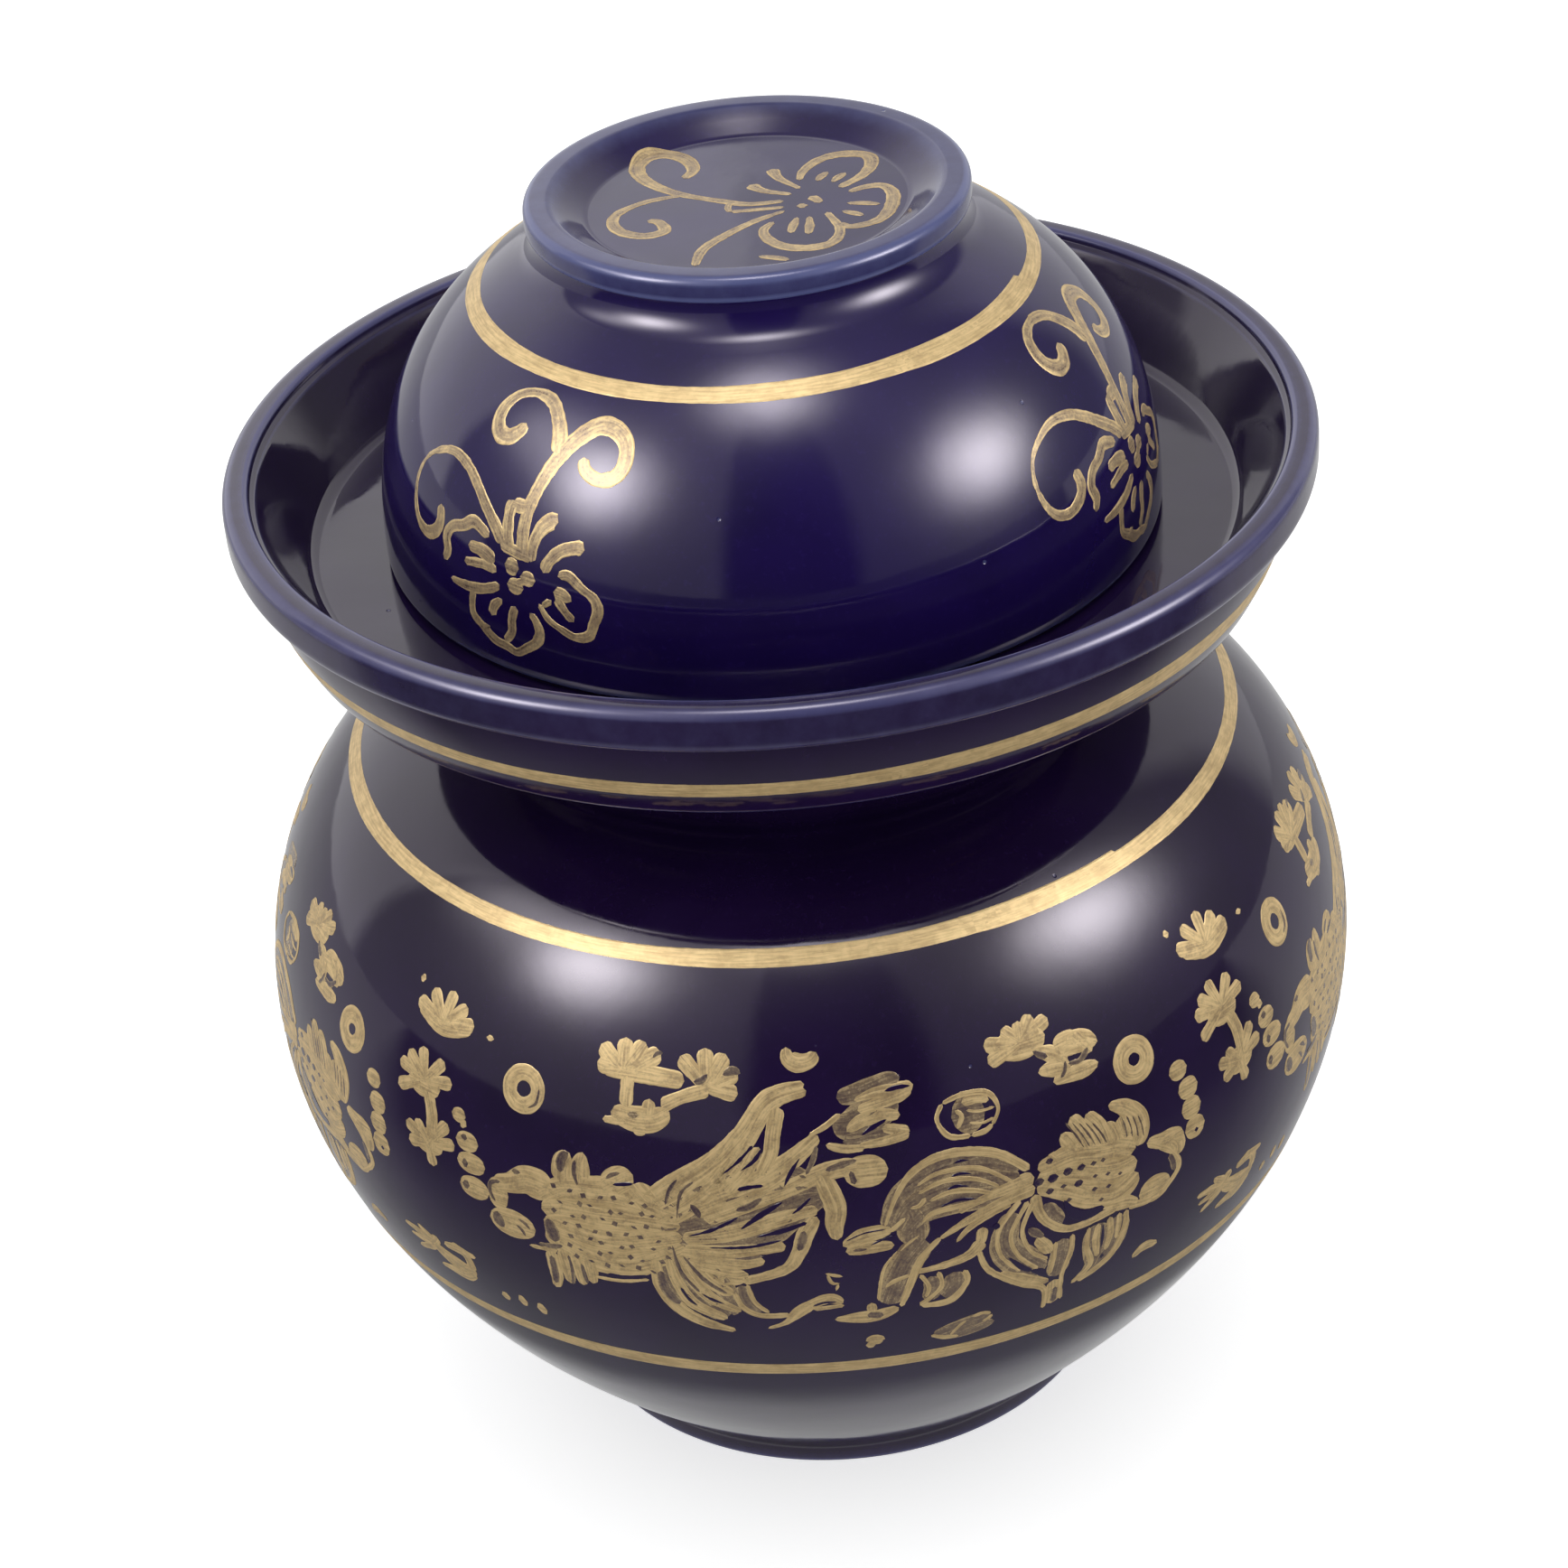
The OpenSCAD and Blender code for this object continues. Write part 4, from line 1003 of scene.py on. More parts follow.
def veiled_fish():
    """The goldfish in thin paint and full outlines: it faces right, under its own bubbles."""
    upper_lobe = [
        wash((2.6, 4.2, 5.2, 5.0, 2.8), (9.6, 4), (12.6, 8.6), (19, 11), (26, 10.6), (32, 9.2)),
        fine((0.25, 0.5, 0.7, 0.85, 0.9, 0.8), (8, 5.2), (10.4, 10.8), (14, 15), (20, 16.8),
             (28, 15), (33.8, 10.2)),
        fine((0.25, 0.45, 0.5, 0.3), (13.9, 12), (18, 13.7), (25, 13), (31, 8.4)),
        fine((0.25, 0.5, 0.5, 0.3), (14, 10.5), (18.5, 12), (24, 11.2), (28.2, 8.6)),
        fine((0.25, 0.5, 0.5, 0.3), (15.8, 8.8), (19.5, 9.7), (23.5, 9.1), (27, 7.6)),
        fine((0.25, 0.55, 0.6, 0.4), (14.2, 4.8), (16.2, 6.3), (20.5, 6.7), (25.5, 6.8)),
        gap((0.1, 0.35, 0.1), (17.6, 7.3), (20.6, 7.9), (23.8, 7.4)),
        gap((0.1, 0.3, 0.1), (19, 10.3), (20.6, 10.6), (22.9, 10.1)),
        gap((0.1, 0.3, 0.1), (20, 12.6), (21.6, 12.8), (23.6, 12.3)),
        gap((0.1, 0.25, 0.1), (20.6, 14.9), (22, 15.1), (23.4, 14.9)),
        fine((0.2, 0.45, 0.5), (12.4, 8), (14, 8.2), (15.2, 9.6)),
        fine((0.3, 0.5, 0.3), (8.6, 3.9), (10, 5), (11.5, 6.3)),
        pull((1.7, 1.2, 0.8, 0.5), (34.5, 8.4), (29, 7.8), (25, 7), (20.5, 5.5)),
        pull((1.5, 1.1, 0.8, 0.4), (34.5, 6.4), (28, 5.4), (22, 3.4), (17, 0.9)),
    ]
    left_lobe = [
        wash((2.0, 2.8, 2.4), (11.8, 8.4), (12.6, 4.4), (12.4, 0.6)),
        wash((2.6, 2.9, 2.9, 2.4), (14.4, 1.4), (11.2, -3), (9.2, -8), (7.9, -12.4)),
        fine((0.4, 0.75, 0.8, 0.5), (17.2, 1.2), (13.8, -2.4), (12, -6.8), (10, -13.4)),
        fine((0.15, 0.3, 0.3), (9.7, -0.2), (7.2, -4), (6.2, -11)),
        fine((0.15, 0.25, 0.15), (10.2, -0.3), (11.8, 1.2), (13.5, 2.3)),
        pull((0.5, 1.4, 1.5, 0.8), (-1.4, -14.8), (2.5, -14.9), (6.2, -14.8), (9.6, -13.5)),
        pull((0.8, 0.9), (5, -11.4), (5.1, -13.8)),
        fine((0.3, 0.5, 0.3), (7.4, -8), (9, -6.8), (11.6, -5.9)),
        faint((0.9, 1.0), (4.2, -14.4), (7, -15)),
    ]
    leaf = [
        pull((0.6, 1.5, 1.5, 0.7), (0.8, 2.2), (3.6, 3.6), (6.6, 4.2), (9.2, 4.3)),
        pull((0.9, 1.3, 0.8), (1.2, 1), (5, 1.3), (9.3, 1.2)),
        gap((0.1, 0.15, 0.1), (1.4, 3.2), (4.5, 4.4), (8, 4.6)),
        gap((0.1, 0.15, 0.1), (5.3, 1.8), (8, 2.8), (9.6, 3.2)),
        blob(3.6, 1.1, 1.2, 0.4, full=0.5, layer=4),
    ]
    small_lobes = [
        pull((0.5, 0.8, 1.0, 1.5), (12.8, -5.5), (18, -4.9), (22, -3.8), (24.4, -1.4)),
        pull((0.9, 1.1), (24, -2.2), (24.6, 1.4)),
        fine((0.3, 0.6, 0.7, 0.8), (19.8, -0.5), (22, 1.7), (25.5, 3.5), (30, 5)),
        wash((1.4, 1.7, 1.4), (15, -7), (15.5, -10), (14.6, -13)),
        wash((2.0, 2.3, 2.0), (19, -7), (19.2, -10), (17.6, -13)),
        fine((0.4, 0.45, 0.4), (13.3, -6.2), (14.8, -9.4), (14.2, -12)),
        fine((0.4, 0.45, 0.6), (16.4, -6.2), (16.9, -10), (13.2, -13.9)),
        fine((0.5, 0.6, 0.9, 0.5), (20.9, -7), (21.4, -10), (18.4, -14), (13.4, -14)),
    ]
    right_lobe = [
        wash((1.8, 2.8, 3.4, 2.2), (30, 3), (28.2, -3.6), (31.5, -9), (35.6, -13)),
        fine((0.5, 0.6, 0.8, 0.6, 0.5), (23.6, -3.4), (25.4, -8.6), (31.5, -14.4),
             (36, -18), (36.5, -24)),
        pull((0.4, 0.9, 1.0, 0.6), (27.4, -9.8), (31, -12.3), (34.4, -14.8), (36.8, -16.4)),
        fine((0.6, 0.5, 0.45, 0.4), (31.6, 4.9), (27.4, 0), (27.4, -5.6), (31, -11)),
        fine((0.5, 0.45, 0.4), (33, 4.2), (29.5, -1.6), (30.6, -7), (34.4, -11.8)),
        fine((0.5, 0.45, 0.4), (33.8, 3.6), (31.5, -1.6), (33, -7), (36.2, -10.2)),
        gap((0.15, 0.6, 0.3), (28.9, -6.8), (31.2, -10), (33.3, -11.9)),
        gap((0.3, 0.8, 0.3), (33, -11.8), (34.8, -12.7), (36.1, -13.7)),
        gap((0.6, 0.8), (27.2, 1.6), (26.8, 0.2)),
        pull((0.8, 1.3, 0.8), (34, -4.4), (35.6, -6.8), (36.8, -9)),
        faint((0.4, 0.9, 0.3), (32.6, -1.6), (33.8, -3), (35.4, -4.6)),
        wash((1.6, 2.2, 2.1), (39, -6.6), (38.7, -11), (38.1, -15.6)),
        fine((0.5, 0.6, 0.5, 0.4), (41, -6.4), (40.8, -10.5), (39.4, -16), (39.9, -23)),
        pull((1.3, 1.5, 1.5), (37.9, -16.4), (38.1, -20), (38.1, -23.4)),
        faint((0.5, 0.8), (38.4, -18.6), (38.4, -23)),
        fine((0.4, 0.5, 0.4), (37.7, -6.8), (37.4, -10.5), (36.8, -14.4)),
    ]
    body = [
        pull((2.6, 5.0, 6.3, 6.8, 4.0), (35, 7.9), (41, 7), (46, 4.7), (50.5, 3.4), (54.4, 3.6),
             tip=0.35),
        pull((1.4, 1.4, 0.9), (49, -3.9), (52, -4.3), (54.4, -5.6)),
        pull((1.2, 1.0, 0.9, 0.8, 0.9), (34.3, 5), (34.7, 1.6), (36.6, -2), (41, -5),
             (50, -4.5)),
        wash((1.4, 2.0, 1.5), (36, 2.5), (37, -0.5), (39, -3)),
        gap((0.2, 0.9, 1.2, 0.6), (39.6, 1.8), (40.9, -1.2), (43.4, -3.1), (47.4, -3.1)),
    ]
    cells = ((35.3, 7.2, 0.9), (37.9, 7.0, 1.0), (40.8, 7.2, 0.9), (43.4, 7.0, 0.8),
             (45.8, 6.8, 0.6), (37.1, 4.7, 0.75), (39.7, 4.7, 0.6), (42.6, 4.1, 0.85),
             (45.9, 4.2, 0.5), (48.4, 3.6, 0.5), (40.5, 1.5, 0.6), (45.6, 1.6, 0.6),
             (48.4, 1.0, 0.55), (44.0, 0.2, 0.4), (51.2, 5.0, 0.4), (50.8, 2.6, 0.45),
             (53.2, 1.4, 0.4), (47.7, 6.7, 0.5), (50.0, 7.2, 0.35), (46.8, -1.2, 0.5),
             (37.6, 10.4, 0.7), (40.5, 10.3, 0.4), (43.3, 10.0, 0.35))
    scales = [blob(x, y, 1.1 * r, 0.9 * r, full=0.12 + 0.4 * (1 - r), layer=5)
              for x, y, r in cells]
    fins = [
        pull((1.3, 1.5, 1.6), (42.7, 16.8), (44.4, 14), (45.6, 10)),
        pull((1.2, 1.6, 1.6), (45.6, 16.2), (47.6, 13.4), (48.6, 9.5)),
        pull((1.0, 1.6, 1.6), (40.4, 14.4), (41.8, 12.4), (42.8, 10)),
        pull((1.0, 1.4), (37.6, 11.6), (39.2, 9.8)),
        pull((0.5, 1.3, 1.5), (49.5, 13.4), (50.3, 11.5), (50.8, 9)),
        pull((0.6, 1.6, 2.0, 1.9, 1.6), (50.2, 16.2), (53, 14.8), (55.4, 12), (55.6, 9),
             (54.6, 6.5)),
        pull((1.2, 1.6), (52, 13.4), (52.8, 9)),
    ]
    fins += [faint((0.1, 0.22, 0.1), (41.6 + 1.25 * k, 16.2 - 0.45 * k),
                   (43.2 + 1.2 * k, 13.2 - 0.35 * k), (44.4 + 1.1 * k, 10.4 - 0.2 * k))
             for k in range(5)]
    fins += [faint((0.1, 0.2, 0.1), (52.2 + 1.1 * k, 13.4 - 0.4 * k),
                   (52.7 + 1.1 * k, 11.2 - 0.4 * k), (52.8 + 1.1 * k, 9 - 0.4 * k))
             for k in range(4)]
    lower_fin = [
        wash((3.8, 4.2, 3.5, 2.0, 0.9), (48.2, -6.4), (48, -10), (47.4, -13.5), (46, -16.8),
             (43, -19)),
        fine((0.4, 0.6, 0.7, 0.6), (44.4, -6.4), (44.1, -11), (45.2, -16), (41.7, -19.4)),
        fine((0.5, 0.8, 0.9, 0.7), (52, -6), (51.8, -10.5), (49, -16.2), (43, -19.5)),
        pull((0.6, 0.9, 0.5), (46.3, -6.4), (45.9, -10), (46.5, -14.6)),
        pull((0.6, 0.8, 0.5), (48.6, -6), (48.9, -10), (48.1, -13.8)),
        pull((0.6, 0.7, 0.4), (50.6, -6), (50.5, -9), (50.2, -12)),
        gap((0.1, 0.3, 0.1), (47.2, -7), (47.3, -10), (47.1, -12.6)),
        blob(47.5, -15, 0.5, 0.7, full=0.1, layer=5),
    ]
    head = [
        pull((1.0, 1.5, 2.2, 1.6, 0.9), (56.6, 6.1), (59.4, 5.3), (62, 4.4), (63.5, 2.5),
             (63.2, 0.4)),
        blob(62.2, 4.3, 2.6, 2.2),
        fine((0.5, 0.55, 0.6, 0.5), (57.4, 5.4), (61.6, 2), (63.4, -2.4), (59, -6.7)),
        faint((0.5, 0.7, 0.4), (61.3, 1.5), (62.1, -0.6), (62.4, -2.6)),
        blob(58.1, -4.3, 3.5, 2.9),
        pull((0.9, 0.9, 0.9), (52.4, -5.4), (55, -6), (57.6, -6.3)),
        blob(65.3, 16.3, 2.1, 1.8), blob(66.8, 12.2, 2.3, 2.1), blob(67, 8.2, 2.3, 2.2),
        blob(67.5, 4, 2.4, 2.3), blob(67.8, 3.3, 0.5, full=0.0, layer=6),
    ]
    return (upper_lobe + left_lobe + leaf + small_lobes + right_lobe + lower_fin + body + fins
            + head + scales)


def sprigs():
    """Flower sprigs over the fish and between them."""
    pair = fan(-35.5, 32, ((-40, 32.8), (-39.7, 35.4), (-35.6, 36.9), (-32.3, 36.6),
                           (-29.6, 35.4)), 1.5) \
        + fan(-22, 31, ((-26.4, 35.2), (-22.4, 36.6), (-19, 35.8), (-17, 33.2), (-17, 30)), 1.45) \
        + [pull((1.2, 1.5, 1.3), (-39, 32.2), (-34, 32.2), (-25.5, 31.6)),
           pull((1.1, 1.1), (-34.7, 31.5), (-34.6, 26.8)),
           pull((1.2, 1.0, 1.2), (-29, 27.6), (-25.8, 29.2), (-21.5, 30.6)),
           pull((1.3, 2.0, 1.9, 1.0), (-37, 25.8), (-33, 25.2), (-30, 25.5), (-27.6, 26.8)),
           pull((0.5, 0.8), (-38.3, 24.5), (-34.5, 24.7)),
           pull((1.2, 1.0), (-31, 26), (-30.9, 28.5)), blob(-32.2, 23.6, 1.2, 0.9),
           blob(-33.4, 25.8, 0.9, 0.6, full=0.6, layer=4),
           faint((0.4, 0.7, 0.4), (-19.4, 32.8), (-17.8, 33.4), (-16.6, 33)),
           faint((0.5, 0.6, 0.3), (-24, 31.6), (-22.8, 31.8), (-21.8, 32.8)),
           faint((0.2, 0.4, 0.2), (-30.9, 34.5), (-30.2, 35.2), (-29.2, 35.4))]
    flower = fan(36.6, 30.6, ((30.4, 31.5), (30.6, 28.7), (33.9, 33.2), (37.1, 33.7), (39.6, 34),
                              (42.4, 32.7)), 1.3) \
        + [blob(36.6, 30.4, 4.6, 2.6),
           pull((1.6, 2.0, 1.2), (42, 27.6), (45.2, 27.8), (48.2, 26.6)),
           pull((0.6, 1.4, 0.8), (38.6, 28.4), (41.5, 27.2), (44, 25)),
           pull((1.6, 1.8, 0.7), (44.5, 28), (47.6, 27.4), (50, 26.3)),
           pull((0.5, 1.4, 1.3), (38.6, 25), (41.4, 24.9), (44.4, 24.4)),
           pull((0.6, 1.2, 1.3, 0.6), (40.8, 22.8), (44, 23), (46.6, 23), (49.2, 23.2)),
           pull((0.9, 1.5), (46.2, 29), (48.6, 25.2)),
           faint((0.2, 0.6, 0.5), (38.4, 28.6), (39.6, 27.6), (40.8, 27)),
           faint((0.2, 0.4, 0.3), (43.6, 25.4), (43.2, 24), (42.2, 23)),
           faint((0.2, 0.5, 0.4), (44, 24.8), (46.2, 24.6), (48, 26))]
    lone = fan(-75.2, 31.8, ((-81, 33.3), (-78.5, 35.7), (-74.4, 36.5), (-71.2, 35), (-69.4, 32.9)),
               1.15) \
        + [pull((0.8, 1.6, 0.9), (-80.4, 32.6), (-75, 31.5), (-69.6, 32.4)),
           blob(-66.2, 32.2, 0.7, 0.4), blob(-81.4, 36.1, 0.6)]
    double = fan(-77.4, 19.6, ((-83.2, 20.6), (-81.6, 22.8), (-78.7, 24.4), (-73.9, 23.6),
                               (-71.8, 20.8), (-83, 16.7)), 1.15) \
        + [blob(-77.4, 19, 3.4, 2.2), pull((1.1, 1.2, 1.1), (-76.4, 18), (-75.3, 14.5),
                                           (-75.2, 9))] \
        + fan(-76, 9.8, ((-80.8, 11.6), (-78.7, 12.8), (-72, 14.4), (-70.5, 11.4),
                         (-80.2, 8.6), (-75, 6)), 1.15) + [blob(-76, 10, 3.2, 2.2)]
    return larger(pair, 1.15, -29.5, 23.5) + larger(flower, 1.1, 40, 12) \
        + larger(lone, 1.25, -74, 27) + larger(double, 1.16, -77, 6)


def pebbles():
    """Rings, stones, leaves and weeds round the fish."""
    rings = [ring(-55.6, 26.7, 2.9, 1.45), ring(-55.6, 26.7, 3.6, 0.8), ring(57, 22, 2.7, 1.6),
             faint((0.15, 0.3, 0.15), (-52.4, 27.4), (-52.8, 24.8), (-54.4, 23.6))]
    stone = [
        wash((3.3, 3.6, 3.3), (21.4, 22.9), (24.5, 22.9), (27.6, 22.9)),
        fine((0.35, 0.5, 0.6, 0.4, 0.35), (20.2, 25.6), (24.3, 26.4), (28.6, 25.6), (30, 22.6),
             (28.4, 20)),
        fine((0.35, 0.4, 0.5, 0.4), (20.2, 25.6), (18.8, 23), (20.6, 19.8), (24.4, 19.1),
             ),
        fine((0.4, 0.5, 0.35), (24.4, 19.1), (27, 19.3), (28.6, 20.2)),
        fine((0.3, 0.5, 0.4), (22.2, 24), (23.3, 22.8), (22.2, 20.8)),
        pull((0.8, 0.9, 0.6), (23.6, 25), (26.2, 25.2), (28.6, 24.4)),
        fine((0.2, 0.3, 0.2), (24.2, 23.6), (26.6, 22.9), (29.4, 23)),
        fine((0.2, 0.25, 0.2), (24.4, 21.4), (26.8, 20.8), (29, 21.2)),
    ]
    blotch = [
        wash((1.2, 2.0, 1.6, 0.8), (2, 29.4), (6.6, 29.8), (11, 31), (13.4, 31.4)),
        wash((1.6, 2.8, 3.3, 2.2), (0.8, 24.6), (4, 24.4), (8, 26), (12.4, 28)),
        wash((1.2, 1.8, 1.4), (2.4, 21.6), (7, 21.8), (12.6, 22)),
        pull((0.4, 1.1, 1.3, 0.9), (5, 28.6), (8.6, 29.4), (12.4, 29.3), (15.6, 29.7)),
        pull((0.8, 1.2, 1.1, 0.5), (5.4, 26.8), (9, 27.5), (13, 28.3), (15.2, 29)),
        gap((0.2, 0.4, 0.2), (10.4, 29.4), (12.6, 29.7), (15.1, 29.6)),
        pull((0.7, 1.3, 1.3, 0.8), (3.2, 23.4), (6, 25), (9.6, 25.4), (12.6, 25)),
        pull((0.6, 0.9, 0.8), (5, 20.6), (9.4, 20.9), (13.8, 21.6)),
        gap((0.2, 0.4, 0.2), (5.6, 22.4), (7.8, 23.6), (10.2, 24.6)),
        fine((0.3, 0.5, 0.4), (-3.4, 23.4), (-0.6, 24.6), (2.4, 26.6)),
        pull((0.5, 0.8, 0.7), (-0.6, 21.4), (2.4, 20.4), (6, 20.2)),
        pull((0.8, 1.0, 0.9), (9.2, 23.2), (11.4, 22.6), (13.9, 22)),
    ]
    leaves = [
        pull((0.7, 1.4, 1.6, 1.3, 1.0), (-6.4, 38.6), (-6.2, 36.9), (-4.4, 35.9), (-2.2, 36.2),
             (-1, 37.4)),
        pull((0.6, 1.3, 0.7), (54.7, -19.9), (57, -18.2), (60.2, -19.2)),
        pull((0.7, 1.2, 0.6), (3.6, -22.2), (5.2, -21.7), (7, -22.2)),
        blob(4.4, -23.6, 0.9, 1.0), blob(5.6, -22.8, 1.0, 0.8),
        blob(-65, -21, 1.0, 1.2), blob(-61, -20.4, 1.0, 1.6), blob(-57, -21, 1.1, 1.7),
    ]
    cloud = [
        wash((1.0, 1.8, 2.0, 1.2), (15.6, -23.6), (19, -22.6), (23.6, -21.6), (26.4, -21.4)),
        wash((0.8, 1.6, 1.8, 0.8), (16.6, -24.6), (20, -24.4), (24, -23.6), (27, -23.2)),
        fine((0.4, 0.7, 0.5), (15.2, -23.4), (17.6, -24.8), (20.4, -25.4)),
        fine((0.3, 0.4, 0.3), (18.8, -24.6), (20.2, -22.4), (21.6, -20.9)),
        fine((0.3, 0.5, 0.3), (22.6, -20.2), (24.6, -19.8), (26.2, -20.4)),
        fine((0.3, 0.4, 0.3), (24.6, -22.4), (25.8, -21.8), (26.4, -20.8)),
    ]
    weeds = [
        pull((0.5, 1.0, 1.3, 1.0), (-87.4, -13), (-84, -13.4), (-80.6, -14.4), (-78.4, -12)),
        pull((0.4, 0.9, 1.0), (-86.6, -15.4), (-83.6, -15.2), (-80.8, -14.6)),
        pull((0.4, 0.9, 1.1), (-85.4, -18.2), (-82.6, -16.8), (-80, -15)),
        pull((0.4, 1.0, 1.1), (-83.2, -11.2), (-81.6, -12.6), (-79.6, -14)),
        pull((1.2, 2.0, 2.1, 1.0), (-80, -14.8), (-77, -16.6), (-73.6, -17.6), (-70.4, -17)),
        pull((0.5, 1.2, 1.5, 0.7), (-80.6, -20.6), (-77.4, -20.2), (-74, -20), (-71, -18.2)),
        pull((1.1, 1.0, 1.2, 0.8), (-71.2, -17), (-71.2, -14), (-72.6, -12.4), (-76.8, -12.8)),
        pull((0.8, 1.0, 0.5), (-74.6, -11.4), (-72, -12.4), (-69, -12.4)),
    ]
    return rings + stone + blotch + leaves + cloud + weeds


def larger(strokes, by, x, y):
    """Strokes grown round a point on the sheet, wider as they get longer."""
    return [{**s, "line": [((a - x) * by + x, (b - y) * by + y, w * by) for a, b, w in s["line"]]}
            for s in strokes]


def thinner(strokes, by):
    """The same strokes with less gold on the brush."""
    return [{**stroke, "full": stroke["full"] * by} for stroke in strokes]


def heavier(strokes, by):
    """The same strokes with a fuller brush."""
    return [{**stroke, "line": [(x, y, w * by) for x, y, w in stroke["line"]]}
            for stroke in strokes]


def lid_spray():
    """The flower spray on the bowl lid's side: three curls, open petals and stamens."""
    curls = [
        pull((1.2, 1.1, 1.3, 1.6, 1.7, 1.5, 1.3, 1.2, 1.1), (-40.8, 23.8), (-40.9, 28),
             (-40.4, 32), (-39.4, 36), (-38, 40), (-35.6, 44), (-32.2, 46.9), (-28.8, 46.8),
             (-26, 44.6), (-25.5, 41.2), (-27, 38.8), (-29.8, 38.1), (-32.4, 39.4), (-33.2, 41.4)),
        pull((1.8, 1.4, 1.1, 0.8, 1.3, 1.6, 1.4, 1.2), (-38.2, 41), (-39, 44), (-40.6, 46.6),
             (-43, 49), (-46, 50), (-49, 49.9), (-52, 48.6), (-53.6, 46), (-53.3, 43.4),
             (-51.4, 41.6), (-49, 41.6), (-47.2, 43.2), (-46.8, 44.6)),
        pull((1.2, 1.15, 1.05, 0.95, 0.7, 0.4, 0.4, 0.75, 1.1, 1.15, 0.9), (-44.6, 24.6),
             (-46.4, 27), (-49, 29.6), (-52, 32.4), (-55.5, 34.6), (-60, 35.4), (-64, 34.2),
             (-67.4, 31.6), (-68.7, 28), (-68, 24), (-66, 21), (-63, 20), (-60.4, 21.2),
             (-59.4, 23.4), (-60, 26.2)),
    ]
    stamens = [
        pull((1.1, 1.1, 1.2), (-43.4, 24), (-43.9, 27), (-44, 30), (-43.6, 32.2)),
        pull((1.1, 1.3, 1.2), (-43.8, 31.8), (-42, 31.6), (-40.6, 32)),
        pull((1.0, 1.1, 0.9), (-45.2, 24.6), (-42, 24.1), (-39, 23.8)),
        pull((0.9, 1.0, 1.2, 1.5, 1.4), (-39.2, 23.2), (-38.8, 26.4), (-37.6, 29), (-35.8, 30.6),
             (-34.8, 30.5)),
        pull((1.0, 1.0, 1.1, 1.2, 1.5), (-36.9, 22), (-36, 24), (-34, 26), (-31.4, 27),
             (-30, 26.9)),
        blob(-42.7, 21.4, 1.35, 1.6), blob(-39.7, 20.2, 1.4, 1.3), blob(-42, 18.2, 1.5, 1.4),
        pull((0.7, 0.7), (-41.8, 18.8), (-40, 19.8)),
    ]
    petals = [
        pull((0.8, 1.0, 0.7, 1.0, 0.8, 0.9, 0.7, 0.6, 0.5), (-34.4, 22), (-32.6, 22.4),
             (-30.6, 20.8), (-28.6, 19.4), (-28, 17.4), (-28.8, 14.8), (-29.6, 12.6),
             (-31.8, 11.8), (-34, 12.6), (-36.4, 14), (-37.8, 16.4)),
        pull((1.4, 1.2, 0.8), (-35.2, 19.2), (-33.6, 18.9), (-32.2, 18.2)),
        pull((1.0, 0.7, 0.8), (-34.8, 18.2), (-33.4, 16.1), (-32, 14.6)),
        pull((0.6, 0.4), (-35.6, 17.6), (-37.4, 16)),
        pull((0.8, 1.1, 1.1, 1.0, 0.95, 1.05, 0.6), (-47.6, 24.8), (-49.4, 25.8), (-51.4, 26.4),
             (-53.4, 25), (-56, 23.8), (-57.2, 21.6), (-56.6, 19.2), (-57.4, 17.2)),
        pull((0.4, 0.8, 1.0, 0.9, 0.7), (-55.6, 14.6), (-53, 14.6), (-50, 15), (-47.2, 16),
             (-45, 17.4)),
        pull((0.9, 1.2, 1.4, 0.9), (-51.8, 22), (-49, 22.1), (-47, 21.4), (-46, 21)),
        pull((0.7, 0.8, 0.95, 0.7), (-52.4, 18.9), (-49.6, 19.6), (-47, 19.9), (-45.6, 19.4)),
        pull((0.8, 0.7, 0.8, 1.0, 0.9, 0.7, 0.8, 0.95, 0.8, 0.55), (-50.4, 14.4), (-50.8, 12),
             (-50.6, 10), (-48.8, 8.6), (-46.6, 7), (-44.4, 6.6), (-42.4, 6), (-40.4, 7.4),
             (-38.6, 9), (-38, 11), (-38.6, 13), (-39.6, 14.2)),
        pull((0.8, 0.6), (-48.6, 8.4), (-47.4, 9.2)),
        pull((0.6, 0.85, 0.7), (-44.6, 15), (-46.2, 13.4), (-46.8, 11.4)),
        pull((0.7, 0.85, 0.7, 0.7), (-42.2, 14.6), (-43, 12), (-43.2, 9.6), (-44.6, 7.4)),
    ]
    return thinner(curls + petals + stamens, 0.84)


